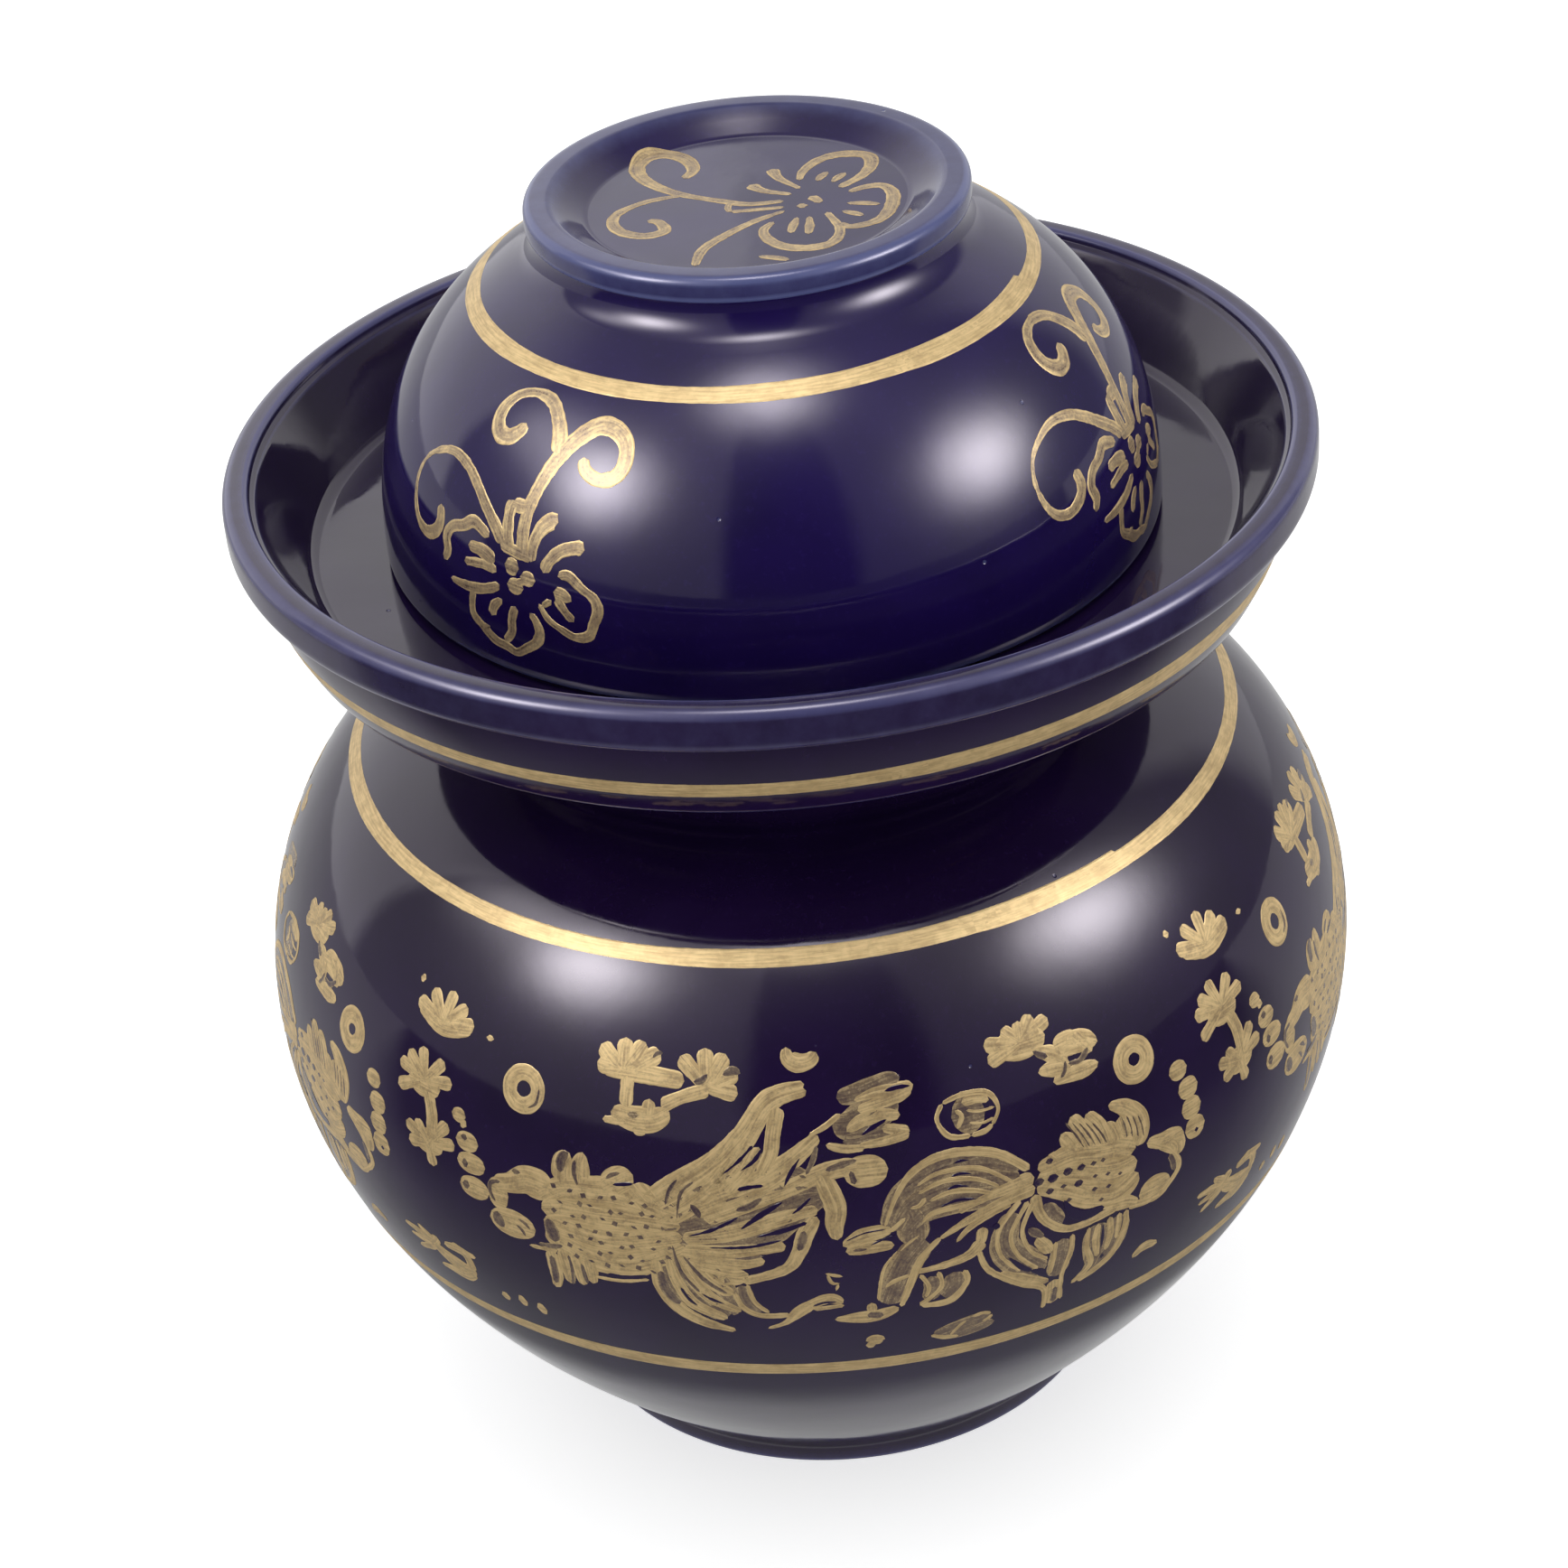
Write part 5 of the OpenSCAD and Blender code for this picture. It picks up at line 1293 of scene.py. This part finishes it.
def top_spray():
    """The flower spray inside the foot ring on top of the bowl lid, as seen from above."""
    curls = [
        pull((0.5, 0.9, 1.2, 1.5, 1.2, 0.7), (-3, 0.5), (-10, 4.5), (-14, 8), (-17.4, 13),
             (-18.4, 18), (-16.6, 22), (-13, 22.6), (-9.8, 19.5), (-8.8, 15), (-10.5, 11.8)),
        pull((0.5, 0.8, 1.0, 1.0, 0.6), (-11, 5), (-17, 3.5), (-21.6, 0), (-22.8, -4),
             (-21.3, -8), (-17.5, -10.2), (-14.2, -8.9), (-15, -5.3), (-17, -4.2)),
        pull((0.4, 0.7, 0.7, 0.5), (-11, 5), (-5, 1.5), (0, -1), (6, -1)),
        pull((0.4, 0.7, 0.9, 0.6), (6, -5), (1, -8), (-4, -12.5), (-8, -17.5), (-9.5, -23.6)),
    ]
    stamens = [
        pull((0.4, 0.5, 0.4), (-3, 0), (-3.4, -2), (-3, -3.5)),
        pull((0.5, 0.5, 0.4), (-3, -3.5), (2, -3.5), (6, -3.4)),
        pull((1.2, 0.7, 0.4), (0.6, 6.8), (3, 3.8), (7.5, 1.5)),
        pull((1.2, 0.7, 0.4), (4.6, 12.6), (5.6, 8.6), (9, 3.6)),
        pull((0.9, 0.8, 0.6), (10.5, 0), (11.6, -1.6), (12, -3)), blob(9, -3.5, 1.0, 0.8),
        pull((0.4, 0.7, 0.4), (1, -22), (3.6, -23), (6, -24.3)),
    ]
    petals = [
        pull((0.5, 0.9, 1.2, 1.0, 0.6), (9, 7), (10, 11), (13, 15), (17, 16.4), (21, 15),
             (21.5, 11), (19.5, 6.6), (15.5, 2.6)),
        pull((0.3, 0.7, 0.4), (12, 6), (12.8, 7.8), (14, 9.5)),
        pull((0.3, 0.7, 0.4), (14.5, 5), (15.6, 6.8), (17, 8.5)),
        pull((0.5, 0.9, 1.1, 0.9, 0.6), (17, 0.5), (20, 2), (23, 1.8), (24.4, -2), (23.4, -8),
             (21, -12), (16.8, -13.4), (14.6, -11.6)),
        pull((0.3, 0.7, 0.4), (16.5, -4), (19.4, -4.6), (22, -5.5)),
        pull((0.3, 0.7, 0.4), (15.5, -7), (17.4, -8.2), (19, -9.5)),
        pull((0.5, 0.9, 1.1, 0.9, 0.5), (4, -9), (2.2, -12), (3, -16), (5.8, -19.3), (10, -20.3),
             (13.4, -18.8), (14.8, -14), (13, -7)),
        pull((0.3, 0.7, 0.4), (8, -8), (7.2, -11), (6.6, -14)),
        pull((0.3, 0.7, 0.4), (10, -8), (9.9, -11.6), (9.5, -15)),
    ]
    return thinner(heavier(curls + stamens + petals, 1.15), 0.84)




# Settings

def length(name, description, value, low, high):
    return bpy.props.FloatProperty(name=name, description=description, default=value, min=low,
                                   max=high, unit="LENGTH", subtype="DISTANCE", precision=5)


def number(name, description, value, low, high):
    return bpy.props.FloatProperty(name=name, description=description, default=value, min=low,
                                   max=high, subtype="FACTOR")


def colour(name, description, value):
    return bpy.props.FloatVectorProperty(name=name, description=description, default=value,
                                         size=4, min=0.0, max=1.0, subtype="COLOR")


class PickleJarShells(bpy.types.PropertyGroup):
    sides: bpy.props.IntProperty(name="Sides", description="Sides round a turned shell",
                                 default=216, min=48, max=512)
    ripple: length("Throwing ripple", "How far a shell's surface wanders inwards",
                   0.00005, 0.0, 0.001)
    jar_deep: colour("Jar glaze", "Pooled glaze of the jar body", (0.0125, 0.0045, 0.036, 1.0))
    jar_thin: colour("Jar glaze, thin", "Glaze of the jar body over an edge",
                     (0.075, 0.075, 0.19, 1.0))
    lid_deep: colour("Lid glaze", "Pooled glaze of the bowl lid", (0.0125, 0.0052, 0.072, 1.0))
    lid_thin: colour("Lid glaze, thin", "Glaze of the bowl lid over an edge",
                     (0.095, 0.11, 0.26, 1.0))
    clay: colour("Bare clay", "Fired clay under the foot and the bowl's lip",
                 (0.46, 0.36, 0.27, 1.0))
    gloss: number("Glaze roughness", "Roughness of the glaze", 0.075, 0.0, 0.5)


class PickleJarGold(bpy.types.PropertyGroup):
    gold: colour("Gold", "Gold lustre where it is full", (0.74, 0.55, 0.275, 1.0))
    worn: colour("Gold, thin", "Gold lustre where the brush ran thin", (0.46, 0.32, 0.15, 1.0))
    satin: number("Gold roughness", "Roughness of the gold", 0.46, 0.05, 1.0)
    thickness: length("Paint thickness", "How high a stroke stands off the glaze",
                      0.00004, 0.00001, 0.0002)
    band_half: length("Band half width", "Half the width of the wide bands", 0.0016, 0.0005, 0.004)
    low_half: length("Lower band half width", "Half the width of the band over the foot",
                     0.0018, 0.0004, 0.003)


class PickleJarStudio(bpy.types.PropertyGroup):
    floor_tone: colour("Floor", "Colour of the floor", (0.8, 0.8, 0.8, 1.0))
    floor_size: length("Floor size", "Half the width of the floor", 6.0, 1.0, 20.0)
    fill: number("Fill", "Even light on matt surfaces", 0.9, 0.0, 2.0)
    panel: number("Panels", "Strength of the side panels in the gloss", 0.42, 0.0, 5.0)
    backdrop: number("Backdrop", "Strength of the backdrop in the gloss", 0.85, 0.0, 5.0)
    dark: number("Dark", "Strength of what lies between the panels in the gloss", 0.03, 0.0, 1.0)
    lamps: bpy.props.FloatProperty(name="Lamps", description="Strength of the soft lamps",
                                   default=20.0, min=0.0, max=200.0)
    # Painted reflections: the floor's colours as the glaze mirrors them, darker far off and lighter
    # by the foot
    floor_gloss: colour("Floor, painted reflection far off", "Painted colour of the floor far off, as the glaze mirrors it",
                        (0.08, 0.08, 0.075, 1.0))
    floor_near: colour("Floor, painted reflection by the foot", "Painted colour of the floor near the foot, as the glaze mirrors it",
                       (0.45, 0.46, 0.44, 1.0))
    lens: bpy.props.FloatProperty(name="Focal length", description="Camera's focal length",
                                  default=93.318, min=20.0, max=300.0, unit="CAMERA")
    distance: length("Camera distance", "From the camera to the point that it turns round",
                     0.744627, 0.2, 5.0)
    height: length("Aim height", "Height of that point over the floor", 0.117303, 0.0, 0.5)
    raise_by: bpy.props.FloatProperty(name="Elevation", description="Camera's angle over level",
                                      default=math.radians(32.27926), subtype="ANGLE",
                                      unit="ROTATION")
    roll: bpy.props.FloatProperty(name="Roll", description="Camera's turn round its own line",
                                  default=math.radians(-4.94865), subtype="ANGLE",
                                  unit="ROTATION")


# Pieces

class PICKLEJAR_OT_jar_body(bpy.types.Operator):
    """Turns the jar body: foot, belly, neck, moat, rim and collar"""
    bl_idname = "picklejar.jar_body"
    bl_label = "Jar body"

    def execute(self, context):
        look = context.scene.pickle_jar_shells
        finish = glaze_finish("jar_glaze", look.jar_deep, look.jar_thin, look.clay, look.gloss)
        turn_shell("jar_body_shell", jar_outline(),
                   lambda r, z: 1.0 if z < 0.12 and r > F.foot_r - F.foot_w - 0.2 else 0.0,
                   finish, "jar", "jar_body", look.ripple, 3.1,
                   "jar", BELLY_SHEET, (F.belly_r, F.belly_z),
                   thin_where=lambda r, z: 0.26 * step_up(z, F.bead_z, F.bead_z + 1.5)
                   * step_up(r, F.lip_r - 1.5, F.lip_r))
        return {"FINISHED"}


class PICKLEJAR_OT_bowl_lid(bpy.types.Operator):
    """Turns the bowl lid that stands in the moat"""
    bl_idname = "picklejar.bowl_lid"
    bl_label = "Bowl lid"

    def execute(self, context):
        look = context.scene.pickle_jar_shells
        finish = glaze_finish("lid_glaze", look.lid_deep, look.lid_thin, look.clay, look.gloss)
        turn_shell("bowl_lid_shell", bowl_outline(),
                   lambda r, z: 1.0 if z < F.moat_z + 0.15 else 0.0,
                   finish, "bowl", "bowl_lid", look.ripple, 8.4,
                   "bowl", LID_SHEET, (F.lid_r, F.lid_z),
                   thin_where=lambda r, z: 0.45 * step_up(z, F.ring_top - 4.5, F.ring_top - 3)
                   * step_up(r, F.ring_r - F.ring_w - 2, F.ring_r - F.ring_w))
        return {"FINISHED"}


class PICKLEJAR_OT_inner_lid(bpy.types.Operator):
    """Turns the inner lid with its spigot and knob"""
    bl_idname = "picklejar.inner_lid"
    bl_label = "Inner lid"

    def execute(self, context):
        look = context.scene.pickle_jar_shells
        finish = glaze_finish("inner_glaze", look.jar_deep, look.jar_thin, look.clay, look.gloss)
        turn_shell("inner_lid_shell", plate_outline(),
                   lambda r, z: 1.0 if z < F.collar_z + 0.05 and r > 3 else 0.0,
                   finish, "plate", "inner_lid", look.ripple * 0.5, 5.2)
        return {"FINISHED"}


class PICKLEJAR_OT_gold_bands(bpy.types.Operator):
    """Brushes the four gold bands"""
    bl_idname = "picklejar.gold_bands"
    bl_label = "Gold bands"

    def execute(self, context):
        look = context.scene.pickle_jar_gold
        wide, low = look.band_half / MM, look.low_half / MM
        jar = run_of("jar")
        bowl = run_of("bowl")
        mid = flange_side(F.moat_band_z / (F.bead_z - F.flange_low_z - F.flange_round))
        bands = (
            ("lid_band", "bowl", "bowl", bowl(F.lid_band_r, lid_side_z(F.lid_band_r)), wide,
             (25.0, 50.0, 0.8), "lid_gold_band"),
            ("moat_band", "jar", "jar", jar(*mid), wide, (8.0, 104.0, 1.5),
             "moat_gold_band"),
            ("shoulder_band", "jar", "jar",
             jar(shoulder(math.degrees(math.asin(F.shoulder_band_z / F.shoulder_h)) / 90)[0],
                 F.belly_z + F.shoulder_band_z), wide, (17.5, 45.0, 0.6),
             "shoulder_gold_band"),
            ("low_band", "jar", "jar", low_band_run(jar), low, (100.0, 20.0, 0.3),
             "lower_gold_band"))
        for name, on, body, y, half, laid, node in bands:
            sheet = WORKSHOP[on][2]
            piece = paint(name, [{"line": band_line(sheet, y, half, *laid), "full": 1.12}], on,
                          body, **{"Hand wobble": 0.00012, "Spacing": 0.0016})
            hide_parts(node)
        return {"FINISHED"}


class PICKLEJAR_OT_full_fish(bpy.types.Operator):
    """Paints the goldfish in full gold, one in each quarter of the belly"""
    bl_idname = "picklejar.full_fish"
    bl_label = "Goldfish, full"

    def execute(self, context):
        paint("goldfish_full", full_fish(), "jar", "jar", **AROUND)
        return {"FINISHED"}


class PICKLEJAR_OT_veiled_fish(bpy.types.Operator):
    """Paints the goldfish in thin gold with full outlines, one in each quarter of the belly"""
    bl_idname = "picklejar.veiled_fish"
    bl_label = "Goldfish, veiled"

    def execute(self, context):
        paint("goldfish_veiled", veiled_fish(), "jar", "jar", **AROUND)
        return {"FINISHED"}


class PICKLEJAR_OT_sprigs(bpy.types.Operator):
    """Paints the sprigs, rings, stones and weeds round the goldfish"""
    bl_idname = "picklejar.sprigs"
    bl_label = "Sprigs and stones"

    def execute(self, context):
        paint("sprigs", sprigs(), "jar", "jar", **AROUND)
        paint("pebbles", pebbles(), "jar", "jar", **AROUND)
        return {"FINISHED"}


class PICKLEJAR_OT_lid_flowers(bpy.types.Operator):
    """Paints the flower sprays on the bowl lid's side and on its top"""
    bl_idname = "picklejar.lid_flowers"
    bl_label = "Lid flowers"

    def execute(self, context):
        sprays = [stroke for dx in (0.0, 112.0, -133.0)
                  for stroke in shifted(lid_spray(), dx, LID_DATUM)]
        paint("lid_sprays", sprays, "bowl", "bowl",
              **{"Hand drift": 0.003, "Hand wobble": 0.00025, "Spacing": 0.0005, "Seed": 5.0})
        paint("top_spray", top_spray(), "bowl", "bowl",
              **{"From above": True, "Hand wobble": 0.00025, "Spacing": 0.0005, "Seed": 9.0})
        return {"FINISHED"}


# Each quarter of the belly gets the same drawing, and the hand is never quite the same twice
AROUND = {"Repeats": 4, "Hand drift": 0.0012, "Hand wobble": 0.0002, "Spacing": 0.00045}
# The sheet of the lid's flowers starts a little over the lid's lip
LID_DATUM = -3.8


def step_up(value, low, high):
    """0 up to low and 1 from high on, evenly between."""
    return min(1.0, max(0.0, (value - low) / (high - low)))


def run_of(on):
    """Gives the function from a point of a shell's profile to its height on the sheet."""
    profile, _shell, _sheet, start = WORKSHOP[on]
    return lambda r, z: (profile_start(profile, r, z) - start) / MM


def low_band_run(jar):
    """Where the lower band lies on the belly's sheet."""
    low = min((lower_side(t) for t in np.linspace(0, 1, 400)),
              key=lambda p: abs(p[1] - F.foot_h - F.low_band_z))
    return jar(*low)


class PICKLEJAR_OT_stage(bpy.types.Operator):
    """Sets the floor, the studio's panels and lamps, and the camera"""
    bl_idname = "picklejar.stage"
    bl_label = "Stage"

    def execute(self, context):
        look = context.scene.pickle_jar_studio
        half = look.floor_size
        mesh = bpy.data.meshes.new("floor")
        mesh.from_pydata([(-half, -half, 0), (half, -half, 0), (half, half, 0), (-half, half, 0)],
                         [], [(0, 1, 2, 3)])
        floor = bpy.data.objects.new("floor", mesh)
        context.scene.collection.objects.link(floor)
        finish, tree, shader = new_finish("floor")
        # The floor's colour for glossy rays is a painted reflection: dark away from the foot,
        # lighter near it, pale grey behind the jar
        place = put(tree, "ShaderNodeTexCoord").outputs["Object"]
        near = remap(tree, vector(tree, "LENGTH", place), 0.32, 0.06)
        mirrored = blend(tree, near, look.floor_gloss, look.floor_near)
        behind = remap(tree, split(tree, place)[1], -0.07, 0.04)
        mirrored = blend(tree, behind, mirrored, (0.7, 0.7, 0.7, 1.0))
        path = put(tree, "ShaderNodeLightPath").outputs
        link(tree, blend(tree, path["Is Glossy Ray"], look.floor_tone, mirrored),
             shader.inputs["Base Color"])
        shader.inputs["Roughness"].default_value = 0.9
        shader.inputs["Emission Color"].default_value = (1, 1, 1, 1)
        # Painted glow: near the foot the floor emits for glossy rays only, a painted reflection of
        # light; for the camera it glows evenly white
        by_foot = remap(tree, vector(tree, "LENGTH", place), 0.085, 0.068)
        lit = calc(tree, "MULTIPLY", path["Is Glossy Ray"],
                   calc(tree, "MULTIPLY", by_foot, 0.35))
        link(tree, calc(tree, "ADD", calc(tree, "MULTIPLY", path["Is Camera Ray"], 0.6), lit),
             shader.inputs["Emission Strength"])
        mesh.materials.append(finish)
        for name, middle, glows in SOFT_BOXES:
            soft_box(context.scene, name, middle, glows, look.lamps)
        studio_world(context.scene, look)
        camera(context.scene, look)
        context.scene.view_settings.view_transform = "Standard"
        return {"FINISHED"}


# Soft lamps far off: azimuth and lift in degrees, width and height as sines, share of the lamps
LAMPS = ((3.0, 80.0, 0.18, 0.19, 0.50), (0.0, 80.0, 0.50, 0.45, 0.035))
# Soft boxes beside the jar: the middle in metres, then each glow's offset across and up, its
# width and height, and its share of the lamps
SOFT_BOXES = (
    ("left_box", (-0.275, -0.19, 0.405), ((0.0, 0.0, 0.08, 0.085, 0.72),
                                          (0.0, 0.0, 0.19, 0.18, 0.055),
                                          (-0.15, 0.05, 0.12, 0.08, 0.15))),
    ("right_box", (0.28, -0.134, 0.329), ((0.0, 0.0, 0.078, 0.072, 0.68),
                                          (0.0, 0.0, 0.17, 0.15, 0.055))),
)


def soft_box(scene, name, middle, glows, strength):
    """A glowing sheet that only gloss shows: brightest in its middle, with no edge."""
    middle = Vector(middle)
    ahead = (Vector((0.0, 0.0, 0.17)) - middle).normalized()
    side = ahead.cross(Vector((0.0, 0.0, 1.0))).normalized()
    over = side.cross(ahead)
    half = 0.5
    corners = [middle + side * (a * half) + over * (b * half)
               for a, b in ((-1, -1), (1, -1), (1, 1), (-1, 1))]
    mesh = bpy.data.meshes.new(name)
    mesh.from_pydata([tuple(corner) for corner in corners], [], [(0, 1, 2, 3)])
    sheet = bpy.data.objects.new(name, mesh)
    scene.collection.objects.link(sheet)
    finish = bpy.data.materials.new(name)
    finish.use_nodes = True
    tree = finish.node_tree
    tree.nodes.clear()
    here = vector(tree, "SUBTRACT", put(tree, "ShaderNodeTexCoord").outputs["Object"],
                  tuple(middle))
    across = vector(tree, "DOT_PRODUCT", here, tuple(side))
    up = vector(tree, "DOT_PRODUCT", here, tuple(over))
    level = 0.0
    for right, top, wide, tall, share in glows:
        a = calc(tree, "DIVIDE", calc(tree, "SUBTRACT", across, right), wide)
        b = calc(tree, "DIVIDE", calc(tree, "SUBTRACT", up, top), tall)
        off = calc(tree, "ADD", calc(tree, "MULTIPLY", a, a), calc(tree, "MULTIPLY", b, b))
        fall = calc(tree, "EXPONENT", calc(tree, "MULTIPLY", off, -1.0))
        level = calc(tree, "ADD", level, calc(tree, "MULTIPLY", fall, share * strength))
    light = put(tree, "ShaderNodeEmission", {"Color": (1, 1, 1, 1), "Strength": level})
    clear = put(tree, "ShaderNodeBsdfTransparent")
    both = put(tree, "ShaderNodeAddShader", {0: light.outputs[0], 1: clear.outputs[0]})
    put(tree, "ShaderNodeOutputMaterial", {"Surface": both.outputs[0]})
    mesh.materials.append(finish)
    sheet.visible_camera = sheet.visible_diffuse = sheet.visible_shadow = False
    sheet.visible_transmission = False


def glow(tree, way, azimuth, lift, wide, tall):
    """A soft lamp in one direction: brightest in its middle, with no edge."""
    a, e = math.radians(azimuth), math.radians(lift)
    ahead = Vector((math.sin(a) * math.cos(e), -math.cos(a) * math.cos(e), math.sin(e)))
    side = Vector((math.cos(a), math.sin(a), 0.0))
    off = [calc(tree, "POWER", calc(tree, "ABSOLUTE", calc(
        tree, "DIVIDE", vector(tree, "DOT_PRODUCT", way, tuple(axis)), size)), 2.0)
        for axis, size in ((side, wide), (ahead.cross(side), tall))]
    level = calc(tree, "EXPONENT", calc(tree, "MULTIPLY", calc(tree, "ADD", *off), -1.0))
    facing = calc(tree, "GREATER_THAN", vector(tree, "DOT_PRODUCT", way, tuple(ahead)), 0.0)
    return calc(tree, "MULTIPLY", level, facing)


def studio_world(scene, look):
    """A studio as light from all round: two side panels and a backdrop behind, soft lamps overhead,
    dark between the panels.

    The camera sees white and matt surfaces an even light; gloss shows the panels and the lamps.
    """
    world = bpy.data.worlds.new("studio")
    scene.world = world
    world.use_nodes = True
    tree = world.node_tree
    tree.nodes.clear()
    way = vector(tree, "NORMALIZE", put(tree, "ShaderNodeTexCoord").outputs["Generated"])
    x, y, z = split(tree, way)
    turn = calc(tree, "ARCTAN2", x, calc(tree, "MULTIPLY", y, -1.0))
    lift = calc(tree, "ARCSINE", z)

    def degrees(value, a, b):
        return remap(tree, value, math.radians(a), math.radians(b))

    above = degrees(lift, -5.0, -3.0)
    left = degrees(turn, -13.0, -19.0)
    right = calc(tree, "MULTIPLY", degrees(turn, 19.0, 27.0), 0.6)
    panels = calc(tree, "MULTIPLY", above, calc(tree, "ADD", left, right))
    # The white backdrop stands behind the jar, so only its far sides mirror it
    behind = calc(tree, "ADD", degrees(turn, -109.0, -114.0),
                  calc(tree, "MULTIPLY", degrees(turn, 121.0, 134.0), 0.8))
    behind = calc(tree, "MULTIPLY", behind, calc(tree, "MULTIPLY", above,
                                                 degrees(lift, 62.0, 30.0)))
    lamps = 0.0
    for azimuth, height, wide, tall, share in LAMPS:
        lamps = calc(tree, "ADD", lamps, calc(tree, "MULTIPLY", share,
                                              glow(tree, way, azimuth, height, wide, tall)))
    lamps = calc(tree, "MULTIPLY", lamps, look.lamps)
    ceiling = calc(tree, "ADD", calc(tree, "MULTIPLY", degrees(lift, 84.0, 60.0), 0.8), 0.2)
    shine = calc(tree, "MULTIPLY", panels, calc(tree, "MULTIPLY", ceiling, look.panel))
    shine = calc(tree, "ADD", shine, calc(tree, "MULTIPLY", behind, look.backdrop))
    shine = calc(tree, "ADD", calc(tree, "ADD", shine, look.dark), lamps)
    matt = calc(tree, "ADD", calc(tree, "MULTIPLY", lamps, 0.08), look.fill)
    path = put(tree, "ShaderNodeLightPath").outputs
    light = blend_values(tree, path["Is Glossy Ray"], matt, shine)
    light = blend_values(tree, path["Is Camera Ray"], light, 1.0)
    sky = put(tree, "ShaderNodeBackground", {"Color": (1, 1, 1, 1), "Strength": light})
    put(tree, "ShaderNodeOutputWorld", {"Surface": sky.outputs[0]})


def blend_values(tree, fac, a, b):
    """Mixes two numbers."""
    made = put(tree, "ShaderNodeMix", {0: fac}, data_type="FLOAT")
    link(tree, a, made.inputs[2])
    link(tree, b, made.inputs[3])
    return made.outputs[0]


def camera(scene, look):
    """The photograph's camera: looking down at the jar, turned a little round its own line."""
    made = bpy.data.objects.new("camera", bpy.data.cameras.new("camera"))
    scene.collection.objects.link(made)
    up, down = math.cos(look.raise_by), math.sin(look.raise_by)
    ahead = Vector((0.0, up, -down))
    right, top = Vector((1.0, 0.0, 0.0)), Vector((0.0, down, up))
    c, s = math.cos(look.roll), math.sin(look.roll)
    across, over = right * c + top * s, top * c - right * s
    place = Vector((0.0, -look.distance * up, look.height + look.distance * down))
    turn = Matrix((across, over, -ahead)).transposed().to_4x4()
    made.matrix_world = Matrix.Translation(place) @ turn
    data = made.data
    data.sensor_width, data.lens = 36.0, look.lens
    # The photograph was cropped a little off its own middle
    data.shift_x, data.shift_y = -16.008 / 1736, 5.5334 / 1736
    data.clip_start, data.clip_end = 0.01, 50.0
    scene.camera = made


# Panel and run

OPERATORS = (PICKLEJAR_OT_jar_body, PICKLEJAR_OT_bowl_lid, PICKLEJAR_OT_inner_lid,
             PICKLEJAR_OT_gold_bands, PICKLEJAR_OT_full_fish, PICKLEJAR_OT_veiled_fish,
             PICKLEJAR_OT_sprigs, PICKLEJAR_OT_lid_flowers, PICKLEJAR_OT_stage)


class PICKLEJAR_PT_panel(bpy.types.Panel):
    bl_idname = "PICKLEJAR_PT_panel"
    bl_label = "Pickle Jar"
    bl_space_type = "VIEW_3D"
    bl_region_type = "UI"
    bl_category = "Pickle Jar"

    def draw(self, context):
        for made in OPERATORS:
            self.layout.operator(made.bl_idname)
        for key in GROUPS:
            box = self.layout.box()
            group = getattr(context.scene, key)
            for prop in group.bl_rna.properties:
                if prop.identifier not in ("rna_type", "name"):
                    box.prop(group, prop.identifier)


GROUPS = {"pickle_jar_shells": PickleJarShells, "pickle_jar_gold": PickleJarGold,
          "pickle_jar_studio": PickleJarStudio}


def register():
    for made in (*GROUPS.values(), *OPERATORS, PICKLEJAR_PT_panel):
        bpy.utils.register_class(made)
    for key, group in GROUPS.items():
        setattr(bpy.types.Scene, key, bpy.props.PointerProperty(type=group))


def unregister():
    for key in GROUPS:
        delattr(bpy.types.Scene, key)
    for made in (PICKLEJAR_PT_panel, *reversed(OPERATORS), *reversed(GROUPS.values())):
        bpy.utils.unregister_class(made)


def main():
    register()
    shells = bpy.context.scene.pickle_jar_shells
    look = bpy.context.scene.pickle_jar_gold
    for key, glaze in (("gold on jar", shells.jar_deep), ("gold on lid", shells.lid_deep)):
        WORKSHOP[key] = gold_finish(key.replace(" ", "_"), look.gold, look.worn, glaze, look.satin)
    for made in OPERATORS:
        group, call = made.bl_idname.split(".")
        getattr(getattr(bpy.ops, group), call)()
    drop(*(WORKSHOP[on][0] for on in ("jar", "bowl")))


if __name__ == "__main__":
    main()
